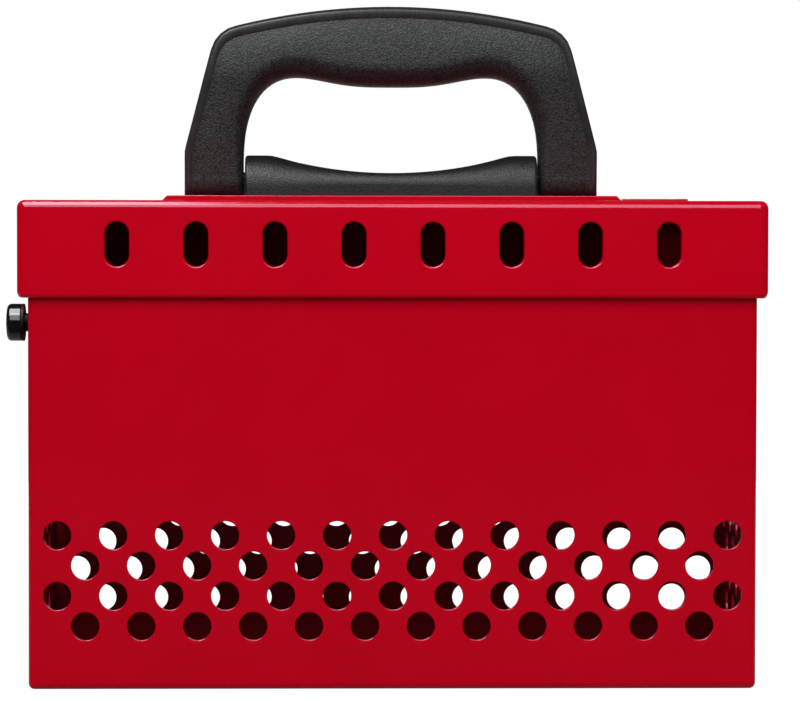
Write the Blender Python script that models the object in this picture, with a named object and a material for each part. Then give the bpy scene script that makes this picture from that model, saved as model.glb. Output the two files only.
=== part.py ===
"""A portable group lockout box: a folded sheet steel body and a hinged lid with eight padlock slots,
a push button latch on the left end and a folding carrying handle on top.

Metres, +Z up, +X to the right, front at -Y. The origin is the middle of the underside of the body.
"""

import math

import bmesh
import bpy
from mathutils import Matrix

MM = 0.001

# Overall
LID_WIDTH = 235.0 * MM
LID_DEPTH = 95.0 * MM
BOX_HEIGHT = 153.4 * MM
LID_SKIRT = 30.5 * MM
BACK_SKIRT = 12.0 * MM
LID_SHEET = 1.6 * MM
LID_BEND = 2.8 * MM
LID_CORNER = 2.2 * MM
BODY_SHEET = 1.2 * MM
BODY_BEND = 1.5 * MM

# Fits
GAP = 0.3 * MM
OVERRUN = 4.0 * MM
BEND_STEPS = 3
HOLE_SIDES = 12
ROUND_SIDES = 20
SMALL_SIDES = 12
SHARP_ANGLE = 30.0

# Padlock slots
SLOT_COUNT = 8
SLOT_MARGIN = 31.05 * MM
SLOT_WIDTH = 7.8 * MM
SLOT_LENGTH = 14.3 * MM
SLOT_SETBACK = 13.8 * MM
SLOT_END_STEPS = 5

# Perforations
HOLE_DIAMETER = 8.9 * MM
HOLE_PITCH = 17.53 * MM
ROW_PITCH = 9.45 * MM
ROW_COUNT = 4
FIRST_ROW_HEIGHT = 20.0 * MM
HOLE_MARGIN = 9.0 * MM

# Hinge
HINGE_INSET = 15.3 * MM
KNUCKLES = 9
LEAF_SHEET = 1.0 * MM
HINGE_PIN_RADIUS = 1.2 * MM
BODY_LEAF_HEIGHT = 19.0 * MM
LID_LEAF_HEIGHT = 11.5 * MM
EYE_SWEEP = 280.0
EYE_STEPS = 11
RIVET_INSET = 19.0 * MM
RIVET_RADIUS = 1.6 * MM
RIVET_HEAD_RADIUS = 3.2 * MM
RIVET_HEAD_HEIGHT = 1.3 * MM
RIVET_TAIL_RADIUS = 2.4 * MM
RIVET_TAIL_HEIGHT = 0.9 * MM

# Push button
BUTTON_DROP = 8.8 * MM
BUTTON_TRAVEL = 4.0 * MM
BUTTON_RADIUS = 6.05 * MM
BUTTON_LENGTH = 6.3 * MM
BUTTON_EDGE = 1.2 * MM
STEM_RADIUS = 3.0 * MM
GUIDE_WALL = 1.5 * MM
GUIDE_FLANGE_WIDTH = 2.2 * MM
GUIDE_FLANGE = 1.5 * MM
GUIDE_REACH = 2.5 * MM
CLIP_THICKNESS = 0.8 * MM
CLIP_WIDTH = 2.3 * MM
CLIP_GROOVE = 0.6 * MM
CLIP_SWEEP = 300.0
STEM_TAIL = 1.5 * MM

# Latch
SPRING_SHEET = 0.6 * MM
SPRING_WIDTH = 12.0 * MM
SPRING_FOOT_HEIGHT = 11.0 * MM
SPRING_FOOT_DROP = 19.0 * MM
SPRING_RAMP = 8.0 * MM
TONGUE_RISE = 12.6 * MM
TONGUE_WIDTH = 8.0 * MM
KEEPER_SHEET = 1.2 * MM
KEEPER_WIDTH = 17.0 * MM
KEEPER_FLANGE = 9.0 * MM
KEEPER_FOOT = 5.0 * MM
KEEPER_WINDOW = 4.5 * MM
KEEPER_SETBACK = 3.4 * MM
TONGUE_REACH = 1.5 * MM
LATCH_RIVET_PITCH = 6.4 * MM
LATCH_RIVET_RADIUS = 1.2 * MM
LATCH_RIVET_HEAD_RADIUS = 2.4 * MM
LATCH_RIVET_HEAD = 1.0 * MM

# Handle pad and key slot
PAD_END_MARGIN = 6.5 * MM
PAD_SLOT_MARGIN = 3.55 * MM
PAD_SHEET = 1.5 * MM
KEY_PLATE_WIDTH = 21.2 * MM
KEY_PLATE_DEPTH = 44.0 * MM
KEY_PLATE_SHEET = 0.6 * MM
KEY_PLATE_CORNER = 3.0 * MM
KEY_SLOT_WIDTH = 8.0 * MM
KEY_SLOT_LENGTH = 34.0 * MM
KEY_PLATE_GAP = 0.6 * MM
KEY_PLATE_SHIFT = 4.0 * MM

# Handle base
BASE_HALF_LENGTH = 47.3 * MM
BASE_DEPTH = 20.0 * MM
BASE_END_HEIGHT = 12.9 * MM
BASE_MIDDLE_HEIGHT = 7.2 * MM
BASE_END_LENGTH = 8.8 * MM
BASE_CURVE_POWER = 2.8
BASE_CURVE_STEPS = 10
BASE_EDGE = 2.5 * MM
BASE_END_RADIUS = 1.0 * MM
PIVOT_HEIGHT = 6.2 * MM
PIVOT_PIN_RADIUS = 3.0 * MM
PIVOT_PIN_GRIP = 11.0 * MM
SCREW_WALL = 6.5 * MM
SCREW_RADIUS = 2.5 * MM
SCREW_HEAD_RADIUS = 4.5 * MM
SCREW_HEAD = 3.0 * MM
SCREW_REACH = 5.0 * MM
WASHER_RADIUS = 6.0 * MM
WASHER_SHEET = 1.2 * MM

# Handle grip, measured from its pivot axis
LEG_GAP = 0.55 * MM
LEG_WIDTH = 19.15 * MM
LEG_STRAIGHT = 8.5 * MM
SHOULDER_LEAN = 8.6 * MM
SHOULDER_RISE = 43.2 * MM
CROWN_RISE = 55.4 * MM
CROWN_RADIUS = 213.0 * MM
SHOULDER_RADIUS = 9.0 * MM
ARCH_CORNER_WIDTH = 16.35 * MM
ARCH_RISE = 32.5 * MM
ARCH_CORNER_HEIGHT = 22.0 * MM
BELLY_DROP = 3.0 * MM
GRIP_DEPTH = 24.0 * MM
GRIP_TAPER_RISE = 34.0 * MM
GRIP_EDGE = 3.2 * MM
GRIP_EDGE_STEPS = 2
CROWN_STEPS = 12
CORNER_STEPS = 7
BELLY_STEPS = 8

# Places worked out from the sizes above
LID_GAP = LEAF_SHEET + 2 * GAP
LID_OVERHANG = LID_SHEET + LID_GAP
BODY_WIDTH = LID_WIDTH - 2 * LID_OVERHANG
BODY_DEPTH = LID_DEPTH - 2 * LID_OVERHANG
LID_INSIDE_TOP = BOX_HEIGHT - LID_SHEET
BODY_TOP = LID_INSIDE_TOP - GAP
SKIRT_BOTTOM = BOX_HEIGHT - LID_SKIRT
SLOT_PITCH = (LID_WIDTH - 2 * SLOT_MARGIN) / (SLOT_COUNT - 1)
HINGE_LENGTH = BODY_WIDTH - 2 * HINGE_INSET
RIVET_PITCH = HINGE_LENGTH / 2 - RIVET_INSET
WALL_BACK = BODY_DEPTH / 2
WALL_LEFT = -BODY_WIDTH / 2
WALL_LEFT_INSIDE = WALL_LEFT + BODY_SHEET
PAD_TOP = BOX_HEIGHT + GAP + PAD_SHEET
BASE_BOTTOM = PAD_TOP + GAP
PIVOT_Z = PAD_TOP + PIVOT_HEIGHT
LEG_INSIDE = BASE_HALF_LENGTH + LEG_GAP
LEG_END_RADIUS = PIVOT_HEIGHT - GAP
HANDLE_HALF_WIDTH = LEG_INSIDE + LEG_WIDTH
SHOULDER_HALF_WIDTH = HANDLE_HALF_WIDTH - SHOULDER_LEAN
ARCH_HALF_WIDTH = LEG_INSIDE - ARCH_CORNER_WIDTH
SCREW_OFFSET = BASE_HALF_LENGTH - PIVOT_PIN_GRIP - GAP - SCREW_WALL - SCREW_RADIUS
PAD_LENGTH = 2 * (HANDLE_HALF_WIDTH + PAD_END_MARGIN)
KEY_PLATE_OFFSET = (PAD_LENGTH + KEY_PLATE_WIDTH) / 2 + KEY_PLATE_GAP
EYE_BORE = HINGE_PIN_RADIUS + GAP
EYE_RADIUS = EYE_BORE + LEAF_SHEET
HINGE_Y = WALL_BACK + GAP + EYE_RADIUS
HINGE_Z = BOX_HEIGHT - BACK_SKIRT - GAP - EYE_RADIUS
SLOT_Z = BOX_HEIGHT - SLOT_SETBACK
SLOT_Y = -LID_DEPTH / 2 + SLOT_SETBACK
PAD_DEPTH = -2 * (SLOT_Y + SLOT_LENGTH / 2 + PAD_SLOT_MARGIN)
BUTTON_HEIGHT = SKIRT_BOTTOM - BUTTON_DROP
STEM_BORE = STEM_RADIUS + GAP
GUIDE_RADIUS = STEM_BORE + GUIDE_WALL
GUIDE_FLANGE_RADIUS = GUIDE_RADIUS + GUIDE_FLANGE_WIDTH
GUIDE_FLANGE_X = WALL_LEFT_INSIDE + GAP
GUIDE_END_X = GUIDE_FLANGE_X + GUIDE_FLANGE + GUIDE_REACH
CLIP_X = GUIDE_END_X + GAP
STEM_END_X = CLIP_X + CLIP_THICKNESS + STEM_TAIL
SPRING_X = STEM_END_X + GAP
KEEPER_X = WALL_LEFT_INSIDE + KEEPER_SETBACK
TONGUE_Z = BUTTON_HEIGHT + TONGUE_RISE


def clear_scene():
    for old in list(bpy.data.objects):
        bpy.data.objects.remove(old, do_unlink=True)


def make_material(name, colour, roughness, metallic=0.0):
    material = bpy.data.materials.new(name)
    material.use_nodes = True
    shader = material.node_tree.nodes["Principled BSDF"]
    shader.inputs["Base Color"].default_value = (*colour, 1.0)
    shader.inputs["Roughness"].default_value = roughness
    shader.inputs["Metallic"].default_value = metallic
    material.diffuse_color = (*colour, 1.0)
    return material


def red_coat():
    return make_material("red_powder_coat", (0.47, 0.002, 0.012), 0.42)


def black_plastic():
    return make_material("black_plastic", (0.03, 0.03, 0.03), 0.5)


def gloss_plastic():
    return make_material("gloss_black_plastic", (0.012, 0.012, 0.012), 0.15)


def plated_steel():
    return make_material("plated_steel", (0.62, 0.62, 0.6), 0.35, 1.0)


def spring_steel():
    return make_material("spring_steel", (0.4, 0.4, 0.42), 0.3, 1.0)


# Outlines: lists of points (u, v) in the plane across the extrusion


def arc(centre, radius, start, end, steps):
    """Points on a circle from one angle to another, in degrees, both ends included."""
    angles = [math.radians(start + (end - start) * i / steps) for i in range(steps + 1)]
    return [(centre[0] + radius * math.cos(a), centre[1] + radius * math.sin(a)) for a in angles]


def circle(centre, radius, sides):
    return arc(centre, radius, 0.0, 360.0, sides)[:-1]


def stadium(centre, width, height):
    """A slot with round ends, taller than it is wide."""
    radius = width / 2
    rise = height / 2 - radius
    upper = arc((centre[0], centre[1] + rise), radius, 0.0, 180.0, SLOT_END_STEPS)
    lower = arc((centre[0], centre[1] - rise), radius, 180.0, 360.0, SLOT_END_STEPS)
    return upper + lower


def rounded_rectangle(centre, width, height, radius, steps):
    outline = []
    for turn, (right, up) in enumerate(((1, 1), (-1, 1), (-1, -1), (1, -1))):
        corner = (centre[0] + right * (width / 2 - radius), centre[1] + up * (height / 2 - radius))
        outline += arc(corner, radius, 90.0 * turn, 90.0 * (turn + 1), steps)
    return outline


def rectangle(low, high):
    return [low, (high[0], low[1]), high, (low[0], high[1])]


# Solids in a bmesh


def along(axis, u, v, w):
    """The point at (u, v) across and w along an axis."""
    return {"X": (w, u, v), "Y": (u, w, v), "Z": (u, v, w)}[axis]


def add_prism(bm, outline, axis, start, end):
    low = [bm.verts.new(along(axis, u, v, start)) for u, v in outline]
    high = [bm.verts.new(along(axis, u, v, end)) for u, v in outline]
    bm.faces.new(low)
    bm.faces.new(high)
    for i in range(len(outline)):
        j = (i + 1) % len(outline)
        bm.faces.new((low[i], low[j], high[j], high[i]))


def prism(outline, axis, start, end):
    return prisms([outline], axis, start, end)


def prisms(outlines, axis, start, end):
    bm = bmesh.new()
    for outline in outlines:
        add_prism(bm, outline, axis, start, end)
    return bm


def turned(profile, axis, centre, sides):
    """A turned solid from (radius, place along the axis). It ends on the axis, or is a ring's section."""
    bm = bmesh.new()
    rings = []
    for radius, place in profile:
        if radius == 0:
            rings.append([bm.verts.new(along(axis, centre[0], centre[1], place))])
        else:
            ring = circle(centre, radius, sides)
            rings.append([bm.verts.new(along(axis, u, v, place)) for u, v in ring])
    pairs = list(zip(rings, rings[1:]))
    if profile[0][0] > 0:
        pairs.append((rings[-1], rings[0]))
    for near, far in pairs:
        for i in range(sides):
            j = (i + 1) % sides
            corners = [near[i % len(near)], near[j % len(near)], far[j % len(far)], far[i % len(far)]]
            bm.faces.new(list(dict.fromkeys(corners)))
    return bm


def bevel_edges(bm, offset, steps, chosen):
    """Rounds the edges that the test chooses."""
    edges = [edge for edge in bm.edges if chosen(edge)]
    bmesh.ops.bevel(bm, geom=edges, offset=offset, segments=steps, profile=0.5, affect="EDGES",
                    clamp_overlap=True)


def block(low, high):
    return prism(rectangle(low[:2], high[:2]), "Z", low[2], high[2])


# Objects


def new_object(name, bm, material=None):
    bmesh.ops.recalc_face_normals(bm, faces=bm.faces[:])
    mesh = bpy.data.meshes.new(name)
    bm.to_mesh(mesh)
    bm.free()
    mesh.shade_smooth()
    mesh.set_sharp_from_angle(angle=math.radians(SHARP_ANGLE))
    if material:
        mesh.materials.append(material)
    made = bpy.data.objects.new(name, mesh)
    bpy.context.scene.collection.objects.link(made)
    return made


def combine(target, name, bm, operation):
    """Cuts a shape out of an object, or keeps only what is inside it."""
    tool = new_object(name, bm)
    tool.hide_render = True
    tool.display_type = "WIRE"
    modifier = target.modifiers.new(name, "BOOLEAN")
    modifier.operation = operation
    modifier.solver = "EXACT"
    modifier.object = tool


def cut(target, name, bm):
    combine(target, name, bm, "DIFFERENCE")


def axis_empty(name, place, pieces):
    """An empty on a joint's axis that carries the pieces of its moving body."""
    carrier = bpy.data.objects.new(name, None)
    bpy.context.scene.collection.objects.link(carrier)
    carrier.location = place
    inverse = Matrix.Translation(place).inverted()
    for piece in pieces:
        piece.parent = carrier
        piece.matrix_parent_inverse = inverse
    return carrier


# Patterns


def slot_places():
    return [(i - (SLOT_COUNT - 1) / 2) * SLOT_PITCH for i in range(SLOT_COUNT)]


def perforations(wall_width):
    """Circles in staggered rows, as many as the wall's width takes, each second row one longer."""
    outlines = []
    long_row = 1 + int((wall_width - 2 * HOLE_MARGIN) / HOLE_PITCH)
    for row in range(ROW_COUNT):
        count = long_row - 1 if row % 2 == 0 else long_row
        height = FIRST_ROW_HEIGHT + row * ROW_PITCH
        for i in range(count):
            place = (i - (count - 1) / 2) * HOLE_PITCH
            outlines.append(circle((place, height), HOLE_DIAMETER / 2, HOLE_SIDES))
    return outlines


def rivet_places():
    return [i * RIVET_PITCH for i in (-1, 0, 1)]


def knuckle_places():
    """Start and end of each knuckle along the hinge, the body's and the lid's in turn."""
    pitch = HINGE_LENGTH / KNUCKLES
    starts = [-HINGE_LENGTH / 2 + i * pitch for i in range(KNUCKLES)]
    return [(start + GAP / 2, start + pitch - GAP / 2) for start in starts]


# Body


def body_wrap(red):
    """Front wall, floor and back wall folded from one sheet, with holes through both walls."""
    outer = arc((-WALL_BACK + BODY_BEND, BODY_BEND), BODY_BEND, 180.0, 270.0, BEND_STEPS)
    outer += arc((WALL_BACK - BODY_BEND, BODY_BEND), BODY_BEND, 270.0, 360.0, BEND_STEPS)
    inside = BODY_BEND - BODY_SHEET
    inner = arc((WALL_BACK - BODY_BEND, BODY_BEND), inside, 360.0, 270.0, BEND_STEPS)
    inner += arc((-WALL_BACK + BODY_BEND, BODY_BEND), inside, 270.0, 180.0, BEND_STEPS)
    outline = [(-WALL_BACK, BODY_TOP)] + outer + [(WALL_BACK, BODY_TOP), (WALL_BACK - BODY_SHEET, BODY_TOP)]
    outline += inner + [(-WALL_BACK + BODY_SHEET, BODY_TOP)]
    wrap = new_object("body_wrap", prism(outline, "X", -BODY_WIDTH / 2, BODY_WIDTH / 2), red)
    reach = WALL_BACK + OVERRUN
    cut(wrap, "wall_perforations", prisms(perforations(BODY_WIDTH), "Y", -reach, reach))
    slots = [stadium((x, SLOT_Z), SLOT_WIDTH, SLOT_LENGTH) for x in slot_places()]
    cut(wrap, "wall_slots", prisms(slots, "Y", -reach, -WALL_BACK + BODY_SHEET + OVERRUN))
    holes = [circle((x, body_rivet_height()), RIVET_RADIUS + GAP, SMALL_SIDES) for x in rivet_places()]
    cut(wrap, "wall_rivet_holes", prisms(holes, "Y", WALL_BACK - BODY_SHEET - OVERRUN, reach))
    return wrap


def end_panel(name, side, red):
    """An end wall, welded in between the front, the floor and the back."""
    half = WALL_BACK - BODY_SHEET - GAP
    outline = rectangle((-half, BODY_SHEET + GAP), (half, BODY_TOP))
    outside = side * BODY_WIDTH / 2
    panel = new_object(name, prism(outline, "X", outside - side * BODY_SHEET, outside), red)
    reach = side * OVERRUN
    holes = prisms(perforations(BODY_DEPTH), "X", outside - reach, outside + reach)
    cut(panel, name + "_perforations", holes)
    if side < 0:
        holes = [circle((0, BUTTON_HEIGHT), GUIDE_RADIUS + GAP, ROUND_SIDES)]
        for y in latch_rivet_places():
            holes.append(circle((y, latch_rivet_height()), LATCH_RIVET_RADIUS + GAP, SMALL_SIDES))
        cut(panel, name + "_latch_holes", prisms(holes, "X", outside - reach, outside + reach))
    return panel


# Hinge


def body_rivet_height():
    return HINGE_Z - EYE_RADIUS - (BODY_LEAF_HEIGHT - EYE_RADIUS) / 2


def lid_rivet_height():
    return HINGE_Z + EYE_RADIUS + (LID_LEAF_HEIGHT - EYE_RADIUS) / 2


def leaf_outline(up, reach):
    """A leaf with its edge rolled into an eye round the pin; up is 1 for the lid's and -1 for the body's."""
    centre = (HINGE_Y, HINGE_Z)
    tip = HINGE_Z + up * reach
    outer = arc(centre, EYE_RADIUS, 180.0, 180.0 + up * EYE_SWEEP, EYE_STEPS)
    inner = arc(centre, EYE_BORE, 180.0 + up * EYE_SWEEP, 180.0, EYE_STEPS)
    inner_face = HINGE_Y - EYE_RADIUS
    return [(inner_face, tip)] + outer + inner + [(inner_face + LEAF_SHEET, tip)]


def hinge_leaf(name, up, reach, rivet_height, material):
    outline = leaf_outline(up, reach)
    leaf = new_object(name, prism(outline, "X", -HINGE_LENGTH / 2, HINGE_LENGTH / 2), material)
    others = [place for i, place in enumerate(knuckle_places()) if (i % 2 == 1) == (up < 0)]
    edge = HINGE_Z + up * (EYE_RADIUS + GAP)
    beyond = HINGE_Z - up * (EYE_RADIUS + OVERRUN)
    notches = bmesh.new()
    for start, end in others:
        low = (HINGE_Y - EYE_RADIUS - OVERRUN, min(edge, beyond))
        high = (HINGE_Y + EYE_RADIUS + OVERRUN, max(edge, beyond))
        add_prism(notches, rectangle(low, high), "X", start - GAP, end + GAP)
    cut(leaf, name + "_notches", notches)
    holes = [circle((x, rivet_height), RIVET_RADIUS + GAP, SMALL_SIDES) for x in rivet_places()]
    face = HINGE_Y - EYE_RADIUS
    cut(leaf, name + "_holes", prisms(holes, "Y", face - OVERRUN, face + LEAF_SHEET + OVERRUN))
    return leaf


def hinge_pin(steel):
    half = HINGE_LENGTH / 2
    outline = circle((HINGE_Y, HINGE_Z), HINGE_PIN_RADIUS, SMALL_SIDES)
    return new_object("hinge_pin", prism(outline, "X", -half, half), steel)


def body_leaf_rivet(index, x, steel):
    """A rivet through the leaf and the back wall, domed outside and set flat inside."""
    outside = HINGE_Y - EYE_RADIUS + LEAF_SHEET + GAP
    inside = WALL_BACK - BODY_SHEET - GAP
    profile = [(0, outside + RIVET_HEAD_HEIGHT), (RIVET_HEAD_RADIUS / 2, outside + RIVET_HEAD_HEIGHT)]
    profile += [(RIVET_HEAD_RADIUS, outside), (RIVET_RADIUS, outside), (RIVET_RADIUS, inside)]
    profile += [(RIVET_TAIL_RADIUS, inside), (RIVET_TAIL_RADIUS, inside - RIVET_TAIL_HEIGHT)]
    profile += [(0, inside - RIVET_TAIL_HEIGHT)]
    shape = turned(profile, "Y", (x, body_rivet_height()), SMALL_SIDES)
    return new_object(f"body_leaf_rivet_{index}", shape, steel)


def lid_leaf_rivet(index, x, red):
    """A rivet through the skirt and the leaf, flush inside so that it clears the back wall."""
    outside = LID_DEPTH / 2 + GAP
    profile = [(0, outside + RIVET_HEAD_HEIGHT), (RIVET_HEAD_RADIUS / 2, outside + RIVET_HEAD_HEIGHT)]
    profile += [(RIVET_HEAD_RADIUS, outside), (RIVET_RADIUS, outside)]
    profile += [(RIVET_RADIUS, HINGE_Y - EYE_RADIUS), (0, HINGE_Y - EYE_RADIUS)]
    shape = turned(profile, "Y", (x, lid_rivet_height()), SMALL_SIDES)
    return new_object(f"lid_leaf_rivet_{index}", shape, red)


# Push button and latch


def push_button(material):
    """Head, stem and the groove for the clip, turned about the button's axis."""
    head_out = WALL_LEFT - GAP - BUTTON_TRAVEL - BUTTON_LENGTH
    head_in = head_out + BUTTON_LENGTH
    groove = STEM_RADIUS - CLIP_GROOVE
    profile = [(0, head_out)]
    edge = arc((BUTTON_RADIUS - BUTTON_EDGE, head_out + BUTTON_EDGE), BUTTON_EDGE, -90.0, 0.0, BEND_STEPS)
    profile += edge
    profile += [(BUTTON_RADIUS, head_in), (STEM_RADIUS, head_in), (STEM_RADIUS, CLIP_X - GAP)]
    profile += [(groove, CLIP_X - GAP), (groove, CLIP_X + CLIP_THICKNESS + GAP)]
    profile += [(STEM_RADIUS, CLIP_X + CLIP_THICKNESS + GAP), (STEM_RADIUS, STEM_END_X), (0, STEM_END_X)]
    return new_object("push_button", turned(profile, "X", (0, BUTTON_HEIGHT), ROUND_SIDES), material)


def button_guide(material):
    """A flanged sleeve in the end wall that the stem slides in."""
    profile = [(STEM_BORE, WALL_LEFT), (GUIDE_RADIUS, WALL_LEFT), (GUIDE_RADIUS, GUIDE_FLANGE_X)]
    profile += [(GUIDE_FLANGE_RADIUS, GUIDE_FLANGE_X), (GUIDE_FLANGE_RADIUS, GUIDE_FLANGE_X + GUIDE_FLANGE)]
    profile += [(GUIDE_RADIUS, GUIDE_FLANGE_X + GUIDE_FLANGE), (GUIDE_RADIUS, GUIDE_END_X)]
    profile.append((STEM_BORE, GUIDE_END_X))
    return new_object("button_guide", turned(profile, "X", (0, BUTTON_HEIGHT), ROUND_SIDES), material)


def button_clip(steel):
    """An open ring in the stem's groove, which stops the button at the guide."""
    inner = STEM_RADIUS - CLIP_GROOVE + GAP
    start = 90.0 - CLIP_SWEEP / 2
    end = 90.0 + CLIP_SWEEP / 2
    outline = arc((0, BUTTON_HEIGHT), inner + CLIP_WIDTH, start, end, ROUND_SIDES)
    outline += arc((0, BUTTON_HEIGHT), inner, end, start, ROUND_SIDES)
    return new_object("button_clip", prism(outline, "X", CLIP_X, CLIP_X + CLIP_THICKNESS), steel)


def latch_rivet_places():
    return (-LATCH_RIVET_PITCH / 2, LATCH_RIVET_PITCH / 2)


def spring_foot_top():
    return BUTTON_HEIGHT - SPRING_FOOT_DROP


def latch_rivet_height():
    return spring_foot_top() - SPRING_FOOT_HEIGHT / 2


def latch_spring(material):
    """A leaf spring from a foot on the end wall up past the stem to a tongue in the keeper's window."""
    foot = WALL_LEFT_INSIDE + GAP
    top = spring_foot_top()
    ramp_top = top + SPRING_RAMP
    outline = [(foot, top - SPRING_FOOT_HEIGHT), (foot + SPRING_SHEET, top - SPRING_FOOT_HEIGHT)]
    outline += [(foot + SPRING_SHEET, top), (SPRING_X + SPRING_SHEET, ramp_top)]
    outline += [(SPRING_X + SPRING_SHEET, TONGUE_Z + SPRING_SHEET)]
    outline += [(KEEPER_X - TONGUE_REACH, TONGUE_Z + SPRING_SHEET), (KEEPER_X - TONGUE_REACH, TONGUE_Z)]
    outline += [(SPRING_X, TONGUE_Z), (SPRING_X, ramp_top), (foot, top)]
    spring = new_object("latch_spring", prism(outline, "Y", -SPRING_WIDTH / 2, SPRING_WIDTH / 2), material)
    sides = bmesh.new()
    for side in (-1, 1):
        near = side * TONGUE_WIDTH / 2
        far = side * (SPRING_WIDTH / 2 + OVERRUN)
        low = (KEEPER_X - TONGUE_REACH - OVERRUN, TONGUE_Z - GAP)
        high = (SPRING_X - GAP, TONGUE_Z + SPRING_SHEET + OVERRUN)
        add_prism(sides, rectangle(low, high), "Y", min(near, far), max(near, far))
    cut(spring, "tongue_sides", sides)
    places = [(y, latch_rivet_height()) for y in latch_rivet_places()]
    holes = [circle(place, LATCH_RIVET_RADIUS + GAP, SMALL_SIDES) for place in places]
    cut(spring, "spring_holes", prisms(holes, "X", foot - OVERRUN, foot + SPRING_SHEET + GAP))
    return spring


def latch_rivet(index, y, steel):
    outside = WALL_LEFT - GAP
    inside = WALL_LEFT_INSIDE + GAP + SPRING_SHEET + GAP
    head = LATCH_RIVET_HEAD_RADIUS
    profile = [(0, outside - LATCH_RIVET_HEAD), (head / 2, outside - LATCH_RIVET_HEAD), (head, outside)]
    profile += [(LATCH_RIVET_RADIUS, outside), (LATCH_RIVET_RADIUS, inside), (head, inside)]
    profile += [(head, inside + LATCH_RIVET_HEAD), (0, inside + LATCH_RIVET_HEAD)]
    shape = turned(profile, "X", (y, latch_rivet_height()), SMALL_SIDES)
    return new_object(f"latch_rivet_{index}", shape, steel)


def latch_keeper(steel):
    """An angle under the lid with a window that the tongue catches in."""
    top = LID_INSIDE_TOP - GAP
    bottom = TONGUE_Z - GAP - KEEPER_FOOT
    inner = KEEPER_X + KEEPER_SHEET
    outline = [(KEEPER_X, bottom), (inner, bottom), (inner, top - KEEPER_SHEET)]
    outline += [(KEEPER_X + KEEPER_FLANGE, top - KEEPER_SHEET), (KEEPER_X + KEEPER_FLANGE, top)]
    outline.append((KEEPER_X, top))
    keeper = new_object("latch_keeper", prism(outline, "Y", -KEEPER_WIDTH / 2, KEEPER_WIDTH / 2), steel)
    half = TONGUE_WIDTH / 2 + 2 * GAP
    window = rectangle((-half, TONGUE_Z - GAP), (half, TONGUE_Z - GAP + KEEPER_WINDOW))
    cut(keeper, "keeper_window", prism(window, "X", KEEPER_X - OVERRUN, inner + OVERRUN))
    return keeper


# Lid


def rounded_cap(width, depth, bottom, top, bend, corner):
    """A block with round upright corners and a round top edge."""
    steps = BEND_STEPS
    bm = prism(rounded_rectangle((0, 0), width, depth, corner, steps), "Z", bottom, top)
    bm.normal_update()
    bevel_edges(bm, bend, steps, lambda edge: all(vert.co.z > (bottom + top) / 2 for vert in edge.verts))
    return bm


def screw_places():
    return (-SCREW_OFFSET, SCREW_OFFSET)


def screw_holes():
    return [circle((x, 0), SCREW_RADIUS + GAP, SMALL_SIDES) for x in screw_places()]


def key_slot_outline(extra):
    centre = (KEY_PLATE_OFFSET, KEY_PLATE_SHIFT)
    return stadium(centre, KEY_SLOT_WIDTH + 2 * extra, KEY_SLOT_LENGTH + 2 * extra)


def lid_shell(red):
    """The lid: a folded tray with slots in its front skirt and along the front of its top.

    Its back skirt is short, so that the hinge axis lies high enough for the front skirt to swing clear.
    """
    shell = rounded_cap(LID_WIDTH, LID_DEPTH, SKIRT_BOTTOM, BOX_HEIGHT, LID_BEND, LID_CORNER)
    lid = new_object("lid_shell", shell, red)
    inner_bend = LID_BEND - LID_SHEET
    inner_corner = LID_CORNER - LID_SHEET
    hollow_width = LID_WIDTH - 2 * LID_SHEET
    hollow_depth = LID_DEPTH - 2 * LID_SHEET
    floor = SKIRT_BOTTOM - OVERRUN
    hollow = rounded_cap(hollow_width, hollow_depth, floor, LID_INSIDE_TOP, inner_bend, inner_corner)
    cut(lid, "lid_hollow", hollow)
    trim_half = BODY_WIDTH / 2 + 2 * GAP
    low = (-trim_half, WALL_BACK, floor)
    high = (trim_half, LID_DEPTH / 2 + OVERRUN, BOX_HEIGHT - BACK_SKIRT)
    cut(lid, "back_skirt_trim", block(low, high))
    front = [stadium((x, SLOT_Z), SLOT_WIDTH, SLOT_LENGTH) for x in slot_places()]
    front_face = -LID_DEPTH / 2
    cut(lid, "skirt_slots", prisms(front, "Y", front_face - OVERRUN, front_face + LID_SHEET + OVERRUN))
    top = [stadium((x, SLOT_Y), SLOT_WIDTH, SLOT_LENGTH) for x in slot_places()]
    top += screw_holes() + [key_slot_outline(GAP)]
    cut(lid, "top_slots", prisms(top, "Z", LID_INSIDE_TOP - OVERRUN, BOX_HEIGHT + OVERRUN))
    back_face = LID_DEPTH / 2
    holes = [circle((x, lid_rivet_height()), RIVET_RADIUS + GAP, SMALL_SIDES) for x in rivet_places()]
    cut(lid, "skirt_rivet_holes", prisms(holes, "Y", back_face - LID_SHEET - OVERRUN, back_face + OVERRUN))
    return lid


def key_slot_plate(red):
    """A thin frame round the slot that keys are dropped through."""
    centre = (KEY_PLATE_OFFSET, KEY_PLATE_SHIFT)
    outline = rounded_rectangle(centre, KEY_PLATE_WIDTH, KEY_PLATE_DEPTH, KEY_PLATE_CORNER, BEND_STEPS)
    bottom = BOX_HEIGHT + GAP
    plate = new_object("key_slot_plate", prism(outline, "Z", bottom, bottom + KEY_PLATE_SHEET), red)
    cut(plate, "plate_slot", prism(key_slot_outline(0), "Z", bottom - OVERRUN, bottom + OVERRUN))
    return plate


def handle_pad(red):
    """A stiffening plate under the handle base, its two ends sloping at 45 degrees."""
    half = PAD_LENGTH / 2
    bottom = BOX_HEIGHT + GAP
    outline = [(-half, bottom), (half, bottom), (half - PAD_SHEET, PAD_TOP), (-half + PAD_SHEET, PAD_TOP)]
    pad = new_object("handle_pad", prism(outline, "Y", -PAD_DEPTH / 2, PAD_DEPTH / 2), red)
    cut(pad, "pad_holes", prisms(screw_holes(), "Z", bottom - OVERRUN, PAD_TOP + OVERRUN))
    return pad


# Handle


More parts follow.
